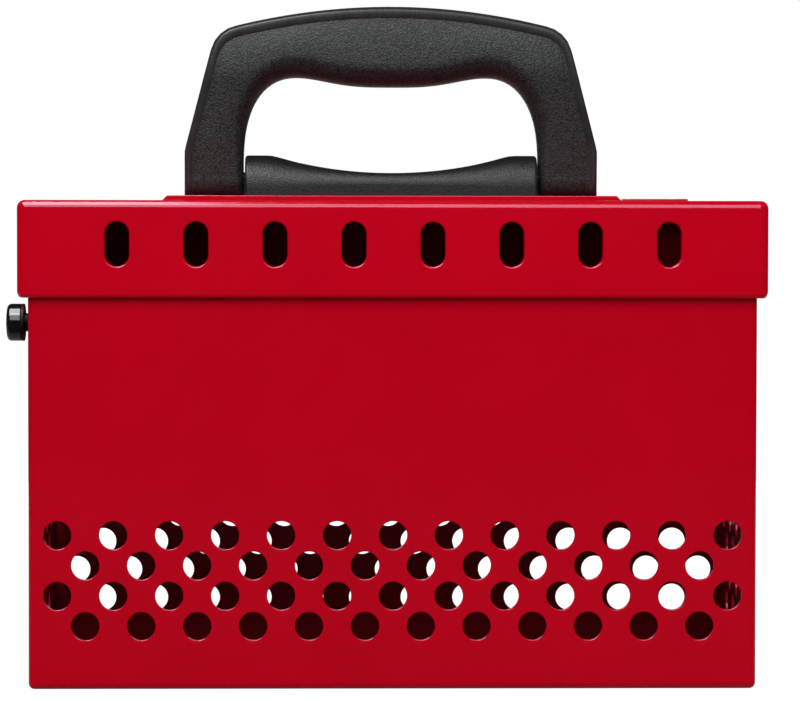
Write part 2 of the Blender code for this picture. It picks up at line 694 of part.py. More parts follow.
def base_outline():
    """The base from the front: a high barrel at each end and a hollow curve between them."""
    start = BASE_HALF_LENGTH - BASE_END_LENGTH
    end_top = BASE_BOTTOM + BASE_END_HEIGHT
    drop = BASE_END_HEIGHT - BASE_MIDDLE_HEIGHT
    right = [(BASE_HALF_LENGTH, BASE_BOTTOM)]
    corner = (BASE_HALF_LENGTH - BASE_END_RADIUS, end_top - BASE_END_RADIUS)
    right += arc(corner, BASE_END_RADIUS, 0.0, 90.0, BEND_STEPS)
    for i in range(BASE_CURVE_STEPS):
        share = 1 - i / BASE_CURVE_STEPS
        right.append((start * share, end_top - drop * (1 - share**BASE_CURVE_POWER)))
    middle = [(0, end_top - drop)]
    left = [(-x, z) for x, z in reversed(right)]
    return right + middle + left


def pivot_bores():
    """Bores that run from the base's ends into the legs, one at each side."""
    bm = bmesh.new()
    outline = circle((0, PIVOT_Z), PIVOT_PIN_RADIUS + GAP, SMALL_SIDES)
    for side in (-1, 1):
        near = side * (BASE_HALF_LENGTH - PIVOT_PIN_GRIP - GAP)
        far = side * (LEG_INSIDE + PIVOT_PIN_GRIP + GAP)
        add_prism(bm, outline, "X", min(near, far), max(near, far))
    return bm


def handle_base(black):
    half = BASE_DEPTH / 2
    shape = prism(base_outline(), "Y", -half, half)

    def is_upper_rim(edge):
        first, second = (vert.co for vert in edge.verts)
        raised = min(first.z, second.z) > BASE_BOTTOM + GAP
        return raised and first.y == second.y and abs(first.x - second.x) > BASE_END_RADIUS

    bevel_edges(shape, BASE_EDGE, BEND_STEPS, is_upper_rim)
    base = new_object("handle_base", shape, black)
    cut(base, "base_pivot_bores", pivot_bores())
    top = BASE_BOTTOM + SCREW_REACH + GAP
    cut(base, "base_screw_holes", prisms(screw_holes(), "Z", BASE_BOTTOM - OVERRUN, top))
    return base


def grip_outer():
    """Outer edge of the grip from the foot of the right leg over the crown to the left, about the pivot."""
    crown = (0.0, PIVOT_Z + CROWN_RISE - CROWN_RADIUS)
    slope = math.atan2(SHOULDER_RISE - LEG_STRAIGHT, SHOULDER_HALF_WIDTH - HANDLE_HALF_WIDTH)
    side = math.degrees(slope) - 90.0
    lean = (math.cos(math.radians(side)), math.sin(math.radians(side)))
    foot = (HANDLE_HALF_WIDTH, PIVOT_Z + LEG_STRAIGHT)
    within = CROWN_RADIUS - SHOULDER_RADIUS
    step_in = foot[0] * lean[0] + (foot[1] - crown[1]) * lean[1] - SHOULDER_RADIUS
    turn = math.radians(side) + math.acos(step_in / within)
    centre = (within * math.cos(turn), crown[1] + within * math.sin(turn))
    right = [(HANDLE_HALF_WIDTH, PIVOT_Z - LEG_END_RADIUS), foot]
    right += arc(centre, SHOULDER_RADIUS, side, math.degrees(turn), CORNER_STEPS)
    right += arc(crown, CROWN_RADIUS, math.degrees(turn), 90.0, CROWN_STEPS)[1:]
    return right + [(-x, z) for x, z in reversed(right[:-1])]


def grip_inner():
    """Finger opening from the left leg's foot over the arch to the right leg's foot."""
    corner = (ARCH_HALF_WIDTH, PIVOT_Z + ARCH_RISE - ARCH_CORNER_HEIGHT)
    wide = LEG_INSIDE - ARCH_HALF_WIDTH
    right = [(LEG_INSIDE, PIVOT_Z - LEG_END_RADIUS)]
    for x, z in arc((0, 0), 1, 0.0, 90.0, CORNER_STEPS):
        right.append((corner[0] + wide * x, corner[1] + ARCH_CORNER_HEIGHT * z))
    for i in range(1, BELLY_STEPS + 1):
        share = 1 - i / BELLY_STEPS
        drop = BELLY_DROP * (1 + math.cos(math.pi * share)) / 2
        right.append((ARCH_HALF_WIDTH * share, PIVOT_Z + ARCH_RISE - drop))
    return [(-x, z) for x, z in right[:-1]] + list(reversed(right))


def grip_side():
    """The grip from its end: round at the foot about the pivot, widening to the full depth."""
    half = GRIP_DEPTH / 2
    reach = CROWN_RISE + OVERRUN
    spread = math.degrees(math.atan2(half - LEG_END_RADIUS, GRIP_TAPER_RISE))
    foot = arc((0, PIVOT_Z), LEG_END_RADIUS, -180.0 - spread, spread, ROUND_SIDES // 2)
    upper = [(half, PIVOT_Z + GRIP_TAPER_RISE), (half, PIVOT_Z + reach)]
    return foot + upper + [(-y, z) for y, z in reversed(upper)]


def handle_grip(black):
    """The grip: its front outline, rounded at the edges, kept only where its side outline allows."""
    half = GRIP_DEPTH / 2
    outline = grip_outer() + grip_inner()
    shape = prism(outline, "Y", -half, half)

    def is_rim(edge):
        first, second = (vert.co for vert in edge.verts)
        return first.y == second.y and max(first.z, second.z) > PIVOT_Z

    bevel_edges(shape, GRIP_EDGE, GRIP_EDGE_STEPS, is_rim)
    grip = new_object("handle_grip", shape, black)
    reach = HANDLE_HALF_WIDTH + OVERRUN
    combine(grip, "grip_side_form", prism(grip_side(), "X", -reach, reach), "INTERSECT")
    cut(grip, "grip_pivot_bores", pivot_bores())
    return grip


def pivot_pin(name, side, steel):
    near = side * (BASE_HALF_LENGTH - PIVOT_PIN_GRIP)
    far = side * (LEG_INSIDE + PIVOT_PIN_GRIP)
    outline = circle((0, PIVOT_Z), PIVOT_PIN_RADIUS, SMALL_SIDES)
    return new_object(name, prism(outline, "X", min(near, far), max(near, far)), steel)


def base_washer(index, x, steel):
    top = LID_INSIDE_TOP - GAP
    bore = SCREW_RADIUS + GAP
    under = top - WASHER_SHEET
    profile = [(bore, top), (WASHER_RADIUS, top), (WASHER_RADIUS, under), (bore, under)]
    return new_object(f"base_washer_{index}", turned(profile, "Z", (x, 0), ROUND_SIDES), steel)


def base_screw(index, x, steel):
    """A screw up through the washer, the lid and the pad into the base."""
    head_top = LID_INSIDE_TOP - GAP - WASHER_SHEET - GAP
    tip = BASE_BOTTOM + SCREW_REACH
    profile = [(0, tip), (SCREW_RADIUS, tip), (SCREW_RADIUS, head_top), (SCREW_HEAD_RADIUS, head_top)]
    profile += [(SCREW_HEAD_RADIUS, head_top - SCREW_HEAD), (0, head_top - SCREW_HEAD)]
    return new_object(f"base_screw_{index}", turned(profile, "Z", (x, 0), SMALL_SIDES), steel)


def build():
    clear_scene()
    red = red_coat()
    black = black_plastic()
    gloss = gloss_plastic()
    steel = plated_steel()
    spring = spring_steel()

    body_wrap(red)
    end_panel("left_end_panel", -1, red)
    end_panel("right_end_panel", 1, red)
    hinge_leaf("hinge_body_leaf", -1, BODY_LEAF_HEIGHT, body_rivet_height(), steel)
    hinge_pin(steel)
    for index, x in enumerate(rivet_places(), 1):
        body_leaf_rivet(index, x, steel)
    button_guide(gloss)
    latch_spring(spring)
    for index, y in enumerate(latch_rivet_places(), 1):
        latch_rivet(index, y, steel)

    button = [push_button(gloss), button_clip(spring)]
    axis_empty("button_axis", (WALL_LEFT, 0, BUTTON_HEIGHT), button)

    lid = [lid_shell(red), hinge_leaf("hinge_lid_leaf", 1, LID_LEAF_HEIGHT, lid_rivet_height(), steel)]
    lid += [lid_leaf_rivet(index, x, steel) for index, x in enumerate(rivet_places(), 1)]
    lid += [latch_keeper(steel), key_slot_plate(red), handle_pad(red), handle_base(black)]
    for index, x in enumerate(screw_places(), 1):
        lid += [base_washer(index, x, steel), base_screw(index, x, steel)]
    lid += [pivot_pin("pivot_pin_left", -1, steel), pivot_pin("pivot_pin_right", 1, steel)]
    axis_empty("lid_hinge_axis", (0, HINGE_Y, HINGE_Z), lid)

    axis_empty("handle_axis", (0, 0, PIVOT_Z), [handle_grip(black)])


build()
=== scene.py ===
"""Looks of a portable group lockout box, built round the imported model.

Metres, +Z up, +X to the right, front at -Y. The fine sheets, the handle, the button and the fasteners stand
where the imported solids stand, and every surface gets a procedural finish.
"""

import math

import bmesh
import bpy
from mathutils import Matrix, Vector
from mathutils.geometry import delaunay_2d_cdt, intersect_line_line_2d


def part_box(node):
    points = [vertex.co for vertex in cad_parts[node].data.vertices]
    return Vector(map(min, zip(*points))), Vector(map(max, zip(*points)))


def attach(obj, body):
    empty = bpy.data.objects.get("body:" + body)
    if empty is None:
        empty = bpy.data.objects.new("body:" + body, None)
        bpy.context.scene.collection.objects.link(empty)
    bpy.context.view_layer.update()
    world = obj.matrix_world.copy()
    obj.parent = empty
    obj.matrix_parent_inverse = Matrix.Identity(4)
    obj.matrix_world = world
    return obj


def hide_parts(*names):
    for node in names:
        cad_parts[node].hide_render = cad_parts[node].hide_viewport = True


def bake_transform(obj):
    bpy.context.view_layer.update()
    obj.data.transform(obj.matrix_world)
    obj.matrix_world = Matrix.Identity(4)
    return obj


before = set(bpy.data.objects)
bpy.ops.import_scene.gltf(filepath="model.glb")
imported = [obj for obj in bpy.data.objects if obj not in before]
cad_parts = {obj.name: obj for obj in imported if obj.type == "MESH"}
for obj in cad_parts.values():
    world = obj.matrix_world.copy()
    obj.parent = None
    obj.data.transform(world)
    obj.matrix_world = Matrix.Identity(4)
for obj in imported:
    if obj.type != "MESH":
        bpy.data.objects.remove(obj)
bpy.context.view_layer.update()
MM = 0.001

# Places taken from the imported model
LID_LOW, LID_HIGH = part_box("lid_shell")
WRAP_LOW, WRAP_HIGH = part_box("body_wrap")
PAD_LOW, PAD_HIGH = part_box("handle_pad")
PLATE_LOW, PLATE_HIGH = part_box("key_slot_plate")
BASE_LOW, BASE_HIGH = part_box("handle_base")
GRIP_LOW, GRIP_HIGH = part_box("handle_grip")
PIVOT_LOW, PIVOT_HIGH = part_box("pivot_pin_left")
BUTTON_LOW, BUTTON_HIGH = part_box("push_button")
PIN_LOW, PIN_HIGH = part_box("hinge_pin")

# Sheets
LID_SHEET = 1.6 * MM
LID_BEND = 2.45 * MM
LID_RIM = 0.55 * MM
LID_CORNER = 3.0 * MM
LID_HEM = 1.8 * MM
LID_HEM_DEPTH = 1.25 * MM
LID_SEAM = 0.45 * MM
LID_CUT = 1.4 * MM
CUT_STEPS = 4
BACK_SKIRT = 12.0 * MM
BODY_SHEET = 1.2 * MM
BODY_BEND = 2.0 * MM
BODY_CORNER = 1.9 * MM
BODY_RIM = 0.3 * MM
GAP = 0.3 * MM
END_SEAM = 0.05 * MM
RIM_STEPS = 3
HEM_STEPS = 7
CURL_STEPS = 7
BEND_STEPS = 8

# Padlock slots and perforations
SLOT_COUNT = 8
SLOT_MARGIN = 31.25 * MM
SLOT_WIDTH = 7.65 * MM
SLOT_LENGTH = 14.0 * MM
SLOT_SETBACK = 13.7 * MM
SLOT_END_STEPS = 20
HOLE_DIAMETER = 8.85 * MM
HOLE_PITCH = 17.53 * MM
HOLE_MARGIN = 9.0 * MM
ROW_PITCH = 9.52 * MM
ROW_COUNT = 4
FIRST_ROW_HEIGHT = 19.9 * MM
HOLE_SIDES = 40

# Key slot
KEY_SLOT_WIDTH = 8.0 * MM
KEY_SLOT_LENGTH = 34.0 * MM
PLATE_CORNER = 3.0 * MM
PLATE_RIM = 0.25 * MM

# Handle pad
PAD_EDGE = 0.3 * MM

# Handle base
BASE_END_LENGTH = 8.8 * MM
BASE_MIDDLE_HEIGHT = 7.2 * MM
BASE_CURVE_POWER = 2.05
BASE_ROUND = 10.5 * MM
BASE_ROUND_LOW = 3.6 * MM
BASE_END_ROUND = 1.0 * MM
BASE_LENGTH_STEPS = 48
BASE_FOOT = 0.4 * MM
SOFTENING = 1.6 * MM
SOFTENING_STEPS = 7
SECTION_STEPS = 10
BOSS_RADIUS = 1.5 * MM
BOSS_STEPS = 12
FOOT_CLEARANCE = 0.05 * MM
BOSS_REACH = 0.5 * MM
PIN_NECK_RADIUS = 1.2 * MM
PIN_NECK_RUN = 1.0 * MM

# Handle grip, heights above its pivot
LEG_INSIDE = 47.85 * MM
LEG_STRAIGHT = 8.5 * MM
SHOULDER_LEAN = 9.15 * MM
SHOULDER_RISE = 43.2 * MM
CROWN_RISE = 55.15 * MM
CROWN_RADIUS = 206.5 * MM
SHOULDER_RADIUS = 10.6 * MM
ARCH_CORNER_WIDTH = 17.1 * MM
ARCH_CORNER_HEIGHT = 30.1 * MM
ARCH_SIDE_POWER = 0.894
ARCH_TOP_POWER = 0.752
ARCH_RISE = 32.2 * MM
BELLY_DROP = 3.05 * MM
BELLY_POWER = 1.6
GRIP_TAPER_RISE = 34.0 * MM
GRIP_EDGE = 0.6 * MM
LEG_DOME = 0.5 * MM
CROWN_DOME = 1.2 * MM
DOME_SHARES = (0.15, 0.35, 0.55, 0.75)
DOME_TURN = 197.0
GRIP_BAND = 1.0 * MM
CROWN_BAND = 1.55 * MM
BEAD_RISE = 0.08 * MM
GROOVE_WIDTH = 0.9 * MM
GROOVE_DEPTH = 0.35 * MM
CROWN_GROOVE_DEPTH = 0.10 * MM
GRIP_FINGER_EDGE = 7.2 * MM
GRIP_FOOT_EDGE = 2.0 * MM
GRIP_CROWNING = 0.4 * MM
CROWN_CROWNING = 1.25 * MM
LEG_RIDGE = 0.5
CROWN_RIDGE = 0.85
GRIP_FLAT_DEPTH = 5.0 * MM
KNEE_RADIUS = 8.0 * MM
CROWN_OVERRUN = 1.0
RAY_LENGTH = 100.0 * MM
CURVE_STEPS = 28
FINGER_CREASE = 22.0
FOOT_STEPS = 10
LEG_STEPS = 10
CROWN_STEPS = 24
EDGE_STEPS = 5
FACE_STEPS = 8

# Push button
HEAD_LENGTH = 6.0 * MM
HEAD_EDGE = 1.5 * MM
HEAD_DOME = 0.35 * MM
HEAD_RIM = 1.1 * MM
HEAD_LINE = 0.15 * MM
HEAD_DISH = 0.9 * MM
NECK_RINGS = 3
NECK_PITCH = 1.0 * MM
STEM_RADIUS = 3.0 * MM
LEAF_FOOT = 11.0 * MM
LEAF_BENDS = 8
CLIP_GROOVE = 0.6 * MM
CLIP_SWEEP = 300.0
GUIDE_RADIUS = 4.8 * MM
GUIDE_FLANGE = 1.8 * MM

# Hinge
HINGE_LEAF = 1.0 * MM
EYE_RADIUS = 2.5 * MM
EYE_SWEEP = 280.0
EYE_STEPS = 36
KNUCKLES = 9

# Fasteners
LEAF_RIVETS = 3
LATCH_RIVETS = 2
BASE_SCREWS = 2
RIVET_RADIUS = 1.6 * MM
LATCH_RIVET_RADIUS = 1.2 * MM
TAIL_HEIGHT = 0.9 * MM
TAIL_RATIO = 1.5
SCREW_RADIUS = 2.5 * MM
SCREW_ROUND = 1.1 * MM
SOCKET_RADIUS = 1.7 * MM
SOCKET_DEPTH = 1.6 * MM
EDGE = 0.2 * MM
ROUND_SIDES = 48
SHARP_ANGLE = 38.0
ROUND_BEVEL = 0.5

# Precision, the fill's in millimetres
WELD = 0.001 * MM
FILL_TOLERANCE = 0.001
PATH_OVERRUN = 1.0 * MM

# Colours of the red coat: the lid's copy is painted lighter as painted light, the inside's copy painted
# darker as painted shade
RED_DEEP = (0.50, 0.0004, 0.0105)
RED_LIGHT = (0.545, 0.0006, 0.0120)
# The lid's copy is the same coat painted lighter: painted light, for the lamps above that fall more on the
# lid
LID_PAINTED_LIGHT_DEEP = (0.535, 0.0004, 0.0112)
LID_PAINTED_LIGHT_PALE = (0.585, 0.0006, 0.0128)
# The inside's copy is the same coat painted darker: painted shade of the closed box
INSIDE_PAINTED_SHADE_DEEP = (0.27, 0.0080, 0.0150)
INSIDE_PAINTED_SHADE_PALE = (0.30, 0.0090, 0.0170)
RED_SPECULAR = 0.50
RED_SPECULAR_TINT = (1.0, 0.74, 1.0, 1.0)

# Grained blacks: colour of the pebbles, roughness, specular level and depth of the relief
# Colour of the hollows between the pebbles, darker as painted shade
PAINTED_SHADE_HOLLOW = (0.005, 0.0057, 0.0057)
GRIP_BLACK = ((0.035, 0.0405, 0.0405), 0.48, 0.3, 0.09 * MM)
# The base's copy of the grip's plastic is painted darker: painted shade
BASE_PAINTED_SHADE_BLACK = ((0.020, 0.0225, 0.0225), 0.36, 0.22, 0.05 * MM)
DULL_BLACK = ((0.010, 0.010, 0.010), 0.45, 0.12, 0.02 * MM)
PEBBLE_WEAR = 0.06

# Grains: size of a noise's features and its detail, then its stretch along X, Y and Z if it has one
RED_PATCHES = (45.0 * MM, 3.0)
RED_CLOUDS = (14.0 * MM, 3.0)
RED_SPECKS = (0.9 * MM, 2.0)
PEEL_WAVES = (1.5 * MM, 1.0)
PEEL_FINE = (0.5 * MM, 1.0)
PEBBLES = (0.55 * MM, 2.0)
CLUSTERS = (2.4 * MM, 2.0)
ZINC_LINES = (0.35 * MM, 3.0, (0.06, 1.0, 1.0))
SPRING_LINES = (0.25 * MM, 3.0, (1.0, 1.0, 0.08))
FLOOR_PATCHES = (60.0 * MM, 3.0)

# Reaches: what the low and the high end of a pattern become, then where in the noise those ends lie
NOISE_LOW = 0.25
NOISE_HIGH = 0.75
RED_DRIFT = (-0.025, 0.025)
RED_GLOSS = (0.10, 0.14)
PEEL_SHARE = (0.0, 0.8, 0.0, 1.0)
FINE_SHARE = (0.0, 0.2, 0.0, 1.0)
PEEL_DEPTH = 0.012 * MM
PEBBLE_SHARE = (0.0, 0.75, 0.41, 0.60)
CLUSTER_SHARE = (0.0, 0.25, 0.3, 0.7)

# Plain finishes: the grip's plastic where its mould is smooth, polished plastic with faint flow marks, bright
# zinc drawn along the sheet, and bare spring steel, greyer and finer
PLAIN_FINISHES = {
    "smooth_black": {
        "colours": ((0.022, 0.023, 0.023), (0.036, 0.037, 0.037)), "clouds": (6.0 * MM, 3.0),
        "marks": (1.2 * MM, 2.0), "roughness": (0.24, 0.32), "specular": 0.25,
        "bumps": (0.6 * MM, 2.0), "depth": 0.01 * MM,
    },
    "gloss_black": {
        "colours": ((0.006, 0.006, 0.006), (0.010, 0.010, 0.010)), "clouds": (3.0 * MM, 2.0),
        "marks": (1.1 * MM, 3.0), "roughness": (0.08, 0.16),
        "bumps": (2.2 * MM, 1.0), "depth": 0.015 * MM,
    },
    "plated_steel": {
        "colours": ((0.50, 0.50, 0.49), (0.68, 0.68, 0.66)), "clouds": (5.0 * MM, 4.0),
        "marks": ZINC_LINES, "roughness": (0.24, 0.42), "metallic": 1.0,
        "bumps": ZINC_LINES, "depth": 0.006 * MM,
    },
    "spring_steel": {
        "colours": ((0.30, 0.30, 0.32), (0.46, 0.46, 0.48)), "clouds": (3.0 * MM, 4.0),
        "marks": SPRING_LINES, "roughness": (0.22, 0.36), "metallic": 1.0,
        "bumps": SPRING_LINES, "depth": 0.004 * MM,
    },
}

# Studio: levels are reaches along the depth, or from the middle of the floor outwards
WHITE = (1.0, 1.0, 1.0, 1.0)
WORLD_FILL = 0.05
STUDIO_LEVELS = (0.015, 1.0, 0.97, 0.995)
FLOOR_DARK = (0.29, 0.29, 0.29)
FLOOR_LIGHT = (0.35, 0.35, 0.35)
FLOOR_ROUGHNESS = 0.9
FLOOR_LEVELS = (0.8, 1.0, 0.25, 0.75)
MIRROR_FLOOR_LEVELS = (0.03, 0.4, -0.0455, -0.0435)
FLOOR_DROP = 0.1 * MM
FLOOR_RADIUS = 0.9

# Lamps: name, place, aim, size, power, whether they light surfaces and whether mirrors see them
BOX_MIDDLE = (0, 0, LID_HIGH.z / 2)
LAMPS = (
    ("key_front", (-0.1, -1.26, 1.07), BOX_MIDDLE, (1.3, 1.3), 25.2, True, True),
    ("top_above", (-0.1, -0.2, 1.4), BOX_MIDDLE, (1.0, 0.8), 3.0, True, False),
    ("fill_back", (0.3, 1.3, 0.7), BOX_MIDDLE, (1.2, 0.8), 9.0, True, False),
    ("fill_left", (-1.3, 0.35, 0.8), BOX_MIDDLE, (0.8, 0.8), 7.0, True, False),
    ("fill_right", (1.3, 0.35, 0.8), BOX_MIDDLE, (0.8, 0.8), 7.0, True, False),
    ("panel_above", (-0.5, -0.385, 1.185), (-0.5, 0, LID_HIGH.z), (0.8, 1.0), 31.0, False, True),
)

# Camera
SENSOR_WIDTH = 36.0
IMAGE_WIDTH = 800
FOCAL_PIXELS = 3449.6
CAMERA_PLACE = (-21.52 * MM, -1123.48 * MM, 142.56 * MM)
CAMERA_YAW = 1.2535
CAMERA_PITCH = 1.915
CAMERA_ROLL = 0.082

# Places that follow from those above
SKIRT_BOTTOM = LID_LOW.z
BOX_HEIGHT = LID_HIGH.z
LID_HALF_WIDTH = LID_HIGH.x
LID_HALF_DEPTH = -LID_LOW.y
WALL_HALF_WIDTH = WRAP_HIGH.x
WALL_HALF_DEPTH = WRAP_HIGH.y
BODY_TOP = WRAP_HIGH.z
SLOT_Z = BOX_HEIGHT - SLOT_SETBACK
SLOT_Y = -LID_HALF_DEPTH + SLOT_SETBACK
SLOT_PITCH = 2 * (LID_HALF_WIDTH - SLOT_MARGIN) / (SLOT_COUNT - 1)
PIVOT_Z = (PIVOT_LOW.z + PIVOT_HIGH.z) / 2
BASE_HOLLOW = BASE_HIGH.z - BASE_LOW.z - BASE_MIDDLE_HEIGHT
ARCH_CORNER = (LEG_INSIDE - ARCH_CORNER_WIDTH, PIVOT_Z + ARCH_RISE - ARCH_CORNER_HEIGHT)
FOOT_DROP = PIVOT_Z - PAD_HIGH.z - FOOT_CLEARANCE
FOOT_HALF = PIVOT_Z - PAD_HIGH.z - GAP
BODY_INSIDE = (
    (BODY_SHEET - WALL_HALF_WIDTH, BODY_SHEET - WALL_HALF_DEPTH, BODY_SHEET),
    (WALL_HALF_WIDTH - BODY_SHEET, WALL_HALF_DEPTH - BODY_SHEET, BODY_TOP),
)
LID_INSIDE = (
    (LID_SHEET - LID_HALF_WIDTH, LID_SHEET - LID_HALF_DEPTH, SKIRT_BOTTOM + LID_HEM),
    (LID_HALF_WIDTH - LID_SHEET, LID_HALF_DEPTH - LID_SHEET, BOX_HEIGHT - LID_SHEET),
)
HINGE_Y = (PIN_LOW.y + PIN_HIGH.y) / 2
HINGE_Z = (PIN_LOW.z + PIN_HIGH.z) / 2
HINGE_HALF = PIN_HIGH.x
BUTTON_Z = (BUTTON_LOW.z + BUTTON_HIGH.z) / 2
LID_INSIDE_TOP = BOX_HEIGHT - LID_SHEET
PLATE_CENTRE = ((PLATE_LOW.x + PLATE_HIGH.x) / 2, (PLATE_LOW.y + PLATE_HIGH.y) / 2)


# Angles and shares


def quarter(steps):
    """Angles up to a quarter turn, in radians, both ends included."""
    return [math.radians(90.0 * i / steps) for i in range(steps + 1)]


def between(first, second, share):
    return first + (second - first) * share


# Outlines: functions from how far they grow to their points


def arc(centre, radius, start, end, steps):
    """Points on a circle from one angle to another, in degrees, both ends included."""
    angles = [math.radians(start + (end - start) * i / steps) for i in range(steps + 1)]
    return [(centre[0] + radius * math.cos(a), centre[1] + radius * math.sin(a)) for a in angles]


def circle(centre, radius, sides=HOLE_SIDES):
    return lambda grow: arc(centre, radius + grow, 0.0, 360.0, sides)[:-1]


def stadium(centre, width, height):
    """A slot with round ends, taller than it is wide."""
    rise = (height - width) / 2

    def outline(grow):
        radius = width / 2 + grow
        upper = arc((centre[0], centre[1] + rise), radius, 0.0, 180.0, SLOT_END_STEPS)
        return upper + arc((centre[0], centre[1] - rise), radius, 180.0, 360.0, SLOT_END_STEPS)

    return outline


def rectangle(low, high):
    def outline(grow):
        left, bottom = low[0] - grow, low[1] - grow
        right, top = high[0] + grow, high[1] + grow
        return [(left, bottom), (right, bottom), (right, top), (left, top)]

    return outline


def rounded_rectangle(low, high, corner):
    def outline(grow):
        points = []
        for turn, (right, up) in enumerate(((1, 1), (0, 1), (0, 0), (1, 0))):
            x = high[0] - corner if right else low[0] + corner
            y = high[1] - corner if up else low[1] + corner
            points += arc((x, y), corner + grow, 90.0 * turn, 90.0 * (turn + 1), BEND_STEPS)
        return points

    return outline


# Sheets with rounded edges


def sheet_plane(axis, outside, inward):
    """Ways from (across, up, depth below the outer face) to a point and back to (across, up)."""

    def place(u, v, depth):
        w = outside + inward * depth
        return Vector({"X": (w, u, v), "Y": (u, w, v), "Z": (u, v, w)}[axis])

    def flat(point):
        return {"X": (point.y, point.z), "Y": (point.x, point.z), "Z": (point.x, point.y)}[axis]

    return place, flat


def rim_profile(thickness, radius, depth=None, steps=RIM_STEPS):
    """(depth, reach) of points round a sheet's edge, from its outer face to its inner face."""
    turns = quarter(steps)
    outer = depth or radius
    inner = min(outer, thickness - outer)
    near = [(outer * (1 - math.cos(a)), radius * math.sin(a)) for a in turns]
    return near + [(thickness - inner * (1 - math.cos(a)), radius * math.sin(a)) for a in reversed(turns)]


def bridge(bm, rings):
    """Quads between closed rings of points, one after the other."""
    for near, far in zip(rings, rings[1:]):
        for i in range(len(near)):
            j = (i + 1) % len(near)
            bm.faces.new((near[i], near[j], far[j], far[i]))


def edge_rings(bm, outline, side, place, thickness, rim):
    """The rounded edge of a flat sheet: side is 1 for its outline and -1 for a hole in it."""
    rings = []
    for depth, reach in rim_profile(thickness, rim):
        points = outline(side * (reach - rim))
        rings.append([bm.verts.new(place(u, v, depth)) for u, v in points])
    bridge(bm, rings)
    return rings[0], rings[-1]


def fill(bm, boundary, holes, flat):
    """Flat faces inside a convex boundary and outside the convex holes in it."""
    loops = [boundary] + holes
    corners = [vert for loop in loops for vert in loop]
    owner = [k for k, loop in enumerate(loops) for _ in loop]
    edges = []
    start = 0
    for loop in loops:
        edges += [(start + i, start + (i + 1) % len(loop)) for i in range(len(loop))]
        start += len(loop)
    points = [Vector(flat(vert.co)) / MM for vert in corners]
    _, _, triangles, origins, _, _ = delaunay_2d_cdt(points, edges, [], 0, FILL_TOLERANCE)
    for triangle in triangles:
        used = [origins[i][0] for i in triangle]
        owners = {owner[i] for i in used}
        if len(owners) > 1 or owners == {0}:
            bm.faces.new([corners[i] for i in used])


def punched(bm, boundaries, outlines, plane, thickness, rim):
    """Both faces of a flat stretch of sheet, with a rounded hole for each outline."""
    place, flat = plane
    holes = [edge_rings(bm, outline, -1, place, thickness, rim) for outline in outlines]
    for face, boundary in enumerate(boundaries):
        fill(bm, boundary, [hole[face] for hole in holes], flat)


def flat_sheet(bm, outline, outlines, plane, thickness, rim):
    """A flat sheet with all its edges rounded."""
    boundaries = edge_rings(bm, outline, 1, plane[0], thickness, rim)
    punched(bm, boundaries, outlines, plane, thickness, rim)


def lower_edge(bm, outer, inner, thickness, profile):
    """The rounded lower edge of a folded sheet, between a loop on its outer and one on its inner face."""
    rings = [outer]
    for depth, reach in profile[1:-1]:
        drop = Vector((0, 0, -reach))
        pairs = zip(outer, inner)
        rings.append([bm.verts.new(near.co.lerp(far.co, depth / thickness) + drop) for near, far in pairs])
    bridge(bm, rings + [inner])


# Other solids


def turned(bm, profile, axis, centre, sides=ROUND_SIDES):
    """A turned solid from (radius, place) pairs, which start and end on the axis or are a ring's section."""
    rings = []
    for radius, along in profile:
        place, _ = sheet_plane(axis, along, 0)
        if radius == 0:
            rings.append([bm.verts.new(place(centre[0], centre[1], 0))])
        else:
            points = arc(centre, radius, 0.0, 360.0, sides)[:-1]
            rings.append([bm.verts.new(place(u, v, 0)) for u, v in points])
    pairs = list(zip(rings, rings[1:]))
    if profile[0][0] > 0:
        pairs.append((rings[-1], rings[0]))
    for near, far in pairs:
        for i in range(sides):
            j = (i + 1) % sides
            corners = [near[i % len(near)], near[j % len(near)], far[j % len(far)], far[i % len(far)]]
            bm.faces.new(list(dict.fromkeys(corners)))


def prism(bm, outline, axis, start, end):
    near_plane, _ = sheet_plane(axis, start, 0)
    far_plane, _ = sheet_plane(axis, end, 0)
    near = [bm.verts.new(near_plane(u, v, 0)) for u, v in outline]
    far = [bm.verts.new(far_plane(u, v, 0)) for u, v in outline]
    bm.faces.new(near)
    bm.faces.new(far)
    bridge(bm, [near, far])


def loft(bm, sections):
    """A closed solid through sections of as many points each, capped at both ends."""
    rings = [[bm.verts.new(point) for point in section] for section in sections]
    bridge(bm, rings)
    bm.faces.new(rings[0])
    bm.faces.new(rings[-1])
    return rings


# Objects, in materials that are kept by name

finishes = {}


def linked(name, bm, names):
    """An object of a finished mesh in named materials, in the scene."""
    mesh = bpy.data.meshes.new(name)
    bm.to_mesh(mesh)
    bm.free()
    for finish in names:
        mesh.materials.append(finishes[finish])
    made = bpy.data.objects.new(name, mesh)
    bpy.context.scene.collection.objects.link(made)
    return made


def piece(name, bm, body, slot, node, *materials):
    """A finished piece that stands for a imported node, in named materials or else in the slot's own."""
    bmesh.ops.recalc_face_normals(bm, faces=bm.faces[:])
    made = linked(name, bm, materials or [slot])
    made.data.shade_smooth()
    made.data.set_sharp_from_angle(angle=math.radians(SHARP_ANGLE))
    made.modifiers.new("weighted_normals", "WEIGHTED_NORMAL").keep_sharp = True
    if body:
        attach(made, body)
    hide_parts(node)
    return made


def turned_piece(name, profile, axis, centre, body, slot, node, *materials):
    bm = bmesh.new()
    turned(bm, profile, axis, centre)
    piece(name, bm, body, slot, node, *materials)


def paint_shade_inside(bm, low, high):
    """Gives the faces whose middle lies in a box the second material, the coat painted darker inside the box
    as painted shade.
    """
    for face in bm.faces:
        middle = face.calc_center_median()
        if all(low[i] - GAP / 2 < middle[i] < high[i] + GAP / 2 for i in range(3)):
            face.material_index = 1


# Body


